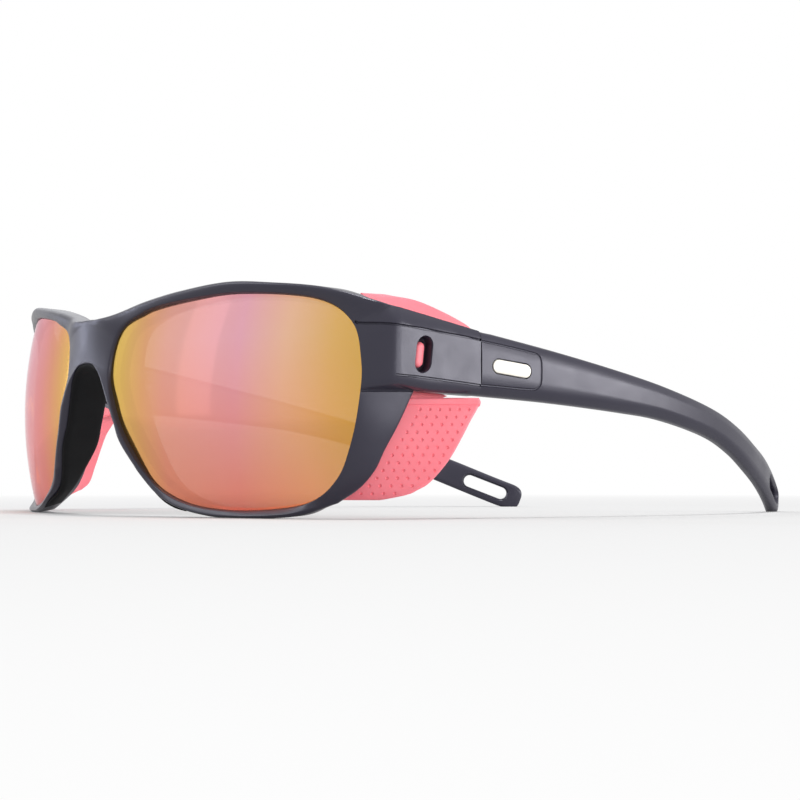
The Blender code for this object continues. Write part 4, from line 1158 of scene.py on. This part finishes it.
templeLeft = templeArm()
templeLine = [vec(*point) for point in grooves["temple"]]
runOut = grooves["templeRunOut"]
templeSpots = layOn(templeLine, surfaceOf(templeLeft), 0.0, before=runOut, after=runOut)
carve(templeLeft, grooveCutter("templeGroove", templeSpots, grooves["templeRadius"]))
carve(templeLeft, cordSlotCutter())
inlayFloor = inlay["proud"] - inlay["thickness"]
seatEnds = (inlayFloor - inlay["seatDrop"], inlay["seatTop"])
carve(templeLeft, inlayBar("inlaySeat", [(depth, inlay["seat"]) for depth in seatEnds]))
inlayTop = [(inlay["proud"] - back, -shrink) for back, shrink in inlay["edge"]]
inlayLeft = inlayBar("inlayLeft", [(inlayFloor, 0.0)] + inlayTop)
for piece in (templeLeft, inlayLeft):
    smoothByAngle(piece, creases["temple"])
dressPair(templeLeft, frameNylon, "temple_{}", "temple_arm_{}")
dressPair(inlayLeft, inlaySatin, "temple_{}", "temple_inlay_{}")
print("temples made:", len(templeLeft.data.polygons), "faces")


# Hinge metal keeps its CAD shape

for name in nodes:
    if "hinge" in name or "rivet" in name:
        paint(nodes[name], hingeSteel)


# Stage: white floor and room, with soft boxes round the glasses

stage = {"floor": 8.0, "world": 0.66, "paper": 0.6, "grain": 40.0, "rough": (0.85, 0.95),
         "near": 0.13, "far": 0.45, "share": 0.12, "aim": (0.03, -0.02, 0.02)}
# place, size, power and tint of each lamp
softBoxes = {
    "rightBox": ((0.62, 0.45, 0.1), (0.46, 0.2), 3.1, (1.0, 0.985, 0.97)),
    "sideBox": ((0.8, 0.06, 0.08), (0.3, 0.14), 1.0, (1.0, 1.0, 1.0)),
    "leftBox": ((-0.813, -0.46, 0.22), (0.15, 0.5), 1.4, (0.76, 0.8, 1.0)),
    "backBox": ((-0.72, 0.22, 0.42), (0.4, 0.4), 0.4, (0.95, 0.97, 1.0)),
    "keyBox": ((-0.36, -0.74, 0.78), (0.55, 0.42), 2.8, (1.0, 1.0, 1.0)),
    "topBox": ((0.05, 0.03, 0.9), (0.24, 0.24), 4.4, (1.0, 1.0, 1.0)),
    "wideCard": ((-0.32, -0.75, 0.2), (0.16, 0.4), 0.03, (1.0, 1.0, 1.0)),
}


def whitePaper():
    # near the glasses the paper takes their shadow, further off it is plain white
    made = newMaterial("whitePaper")
    rough = made.span(made.noise(stage["grain"]), noiseLow, noiseHigh, *stage["rough"])
    made.shade({"Base Color": (stage["paper"],) * 3 + (1.0,), "Specular IOR Level": 0.0, "Roughness": rough})
    paper = made.shader.outputs[0]
    distance = made.add("VectorMath", {0: made.coords("Object")}, operation="LENGTH")["Value"]
    white = made.span(distance, stage["near"], stage["far"], stage["share"], 1.0)
    fade = made.add("MixShader", {0: white, 1: paper, 2: made.add("Emission", {"Strength": 1.0})[0]})[0]
    made.feed(made.tree.nodes["Material Output"], {"Surface": made.backdrop(paper, fade)})
    return made


def whiteRoom():
    made = Nodes(bpy.data.worlds.new("whiteRoom"), "Background")
    made.shade({"Color": (1, 1, 1, 1), "Strength": stage["world"]})
    shown = made.add("Background", {"Color": (1, 1, 1, 1), "Strength": 1.0})[0]
    made.feed(made.tree.nodes["World Output"], {"Surface": made.backdrop(made.shader.outputs[0], shown)})
    return made


def makeStage():
    deselect()
    bpy.ops.mesh.primitive_plane_add(size=stage["floor"], location=(0, 0, 0))
    floor = justMade("floor")
    paint(floor, whitePaper())
    bpy.context.scene.world = whiteRoom().owner
    for name, (place, size, power, tint) in softBoxes.items():
        bpy.ops.object.light_add(type="AREA", location=place)
        lamp = justMade(name)
        lamp.data.shape = "RECTANGLE"
        lamp.data.size, lamp.data.size_y = size
        lamp.data.energy = power
        lamp.data.color = tint
        aim = Vector(stage["aim"]) - Vector(place)
        lamp.rotation_euler = aim.to_track_quat("-Z", "Y").to_euler()


makeStage()
bpy.context.scene.view_settings.view_transform = "Standard"
print("stage set")
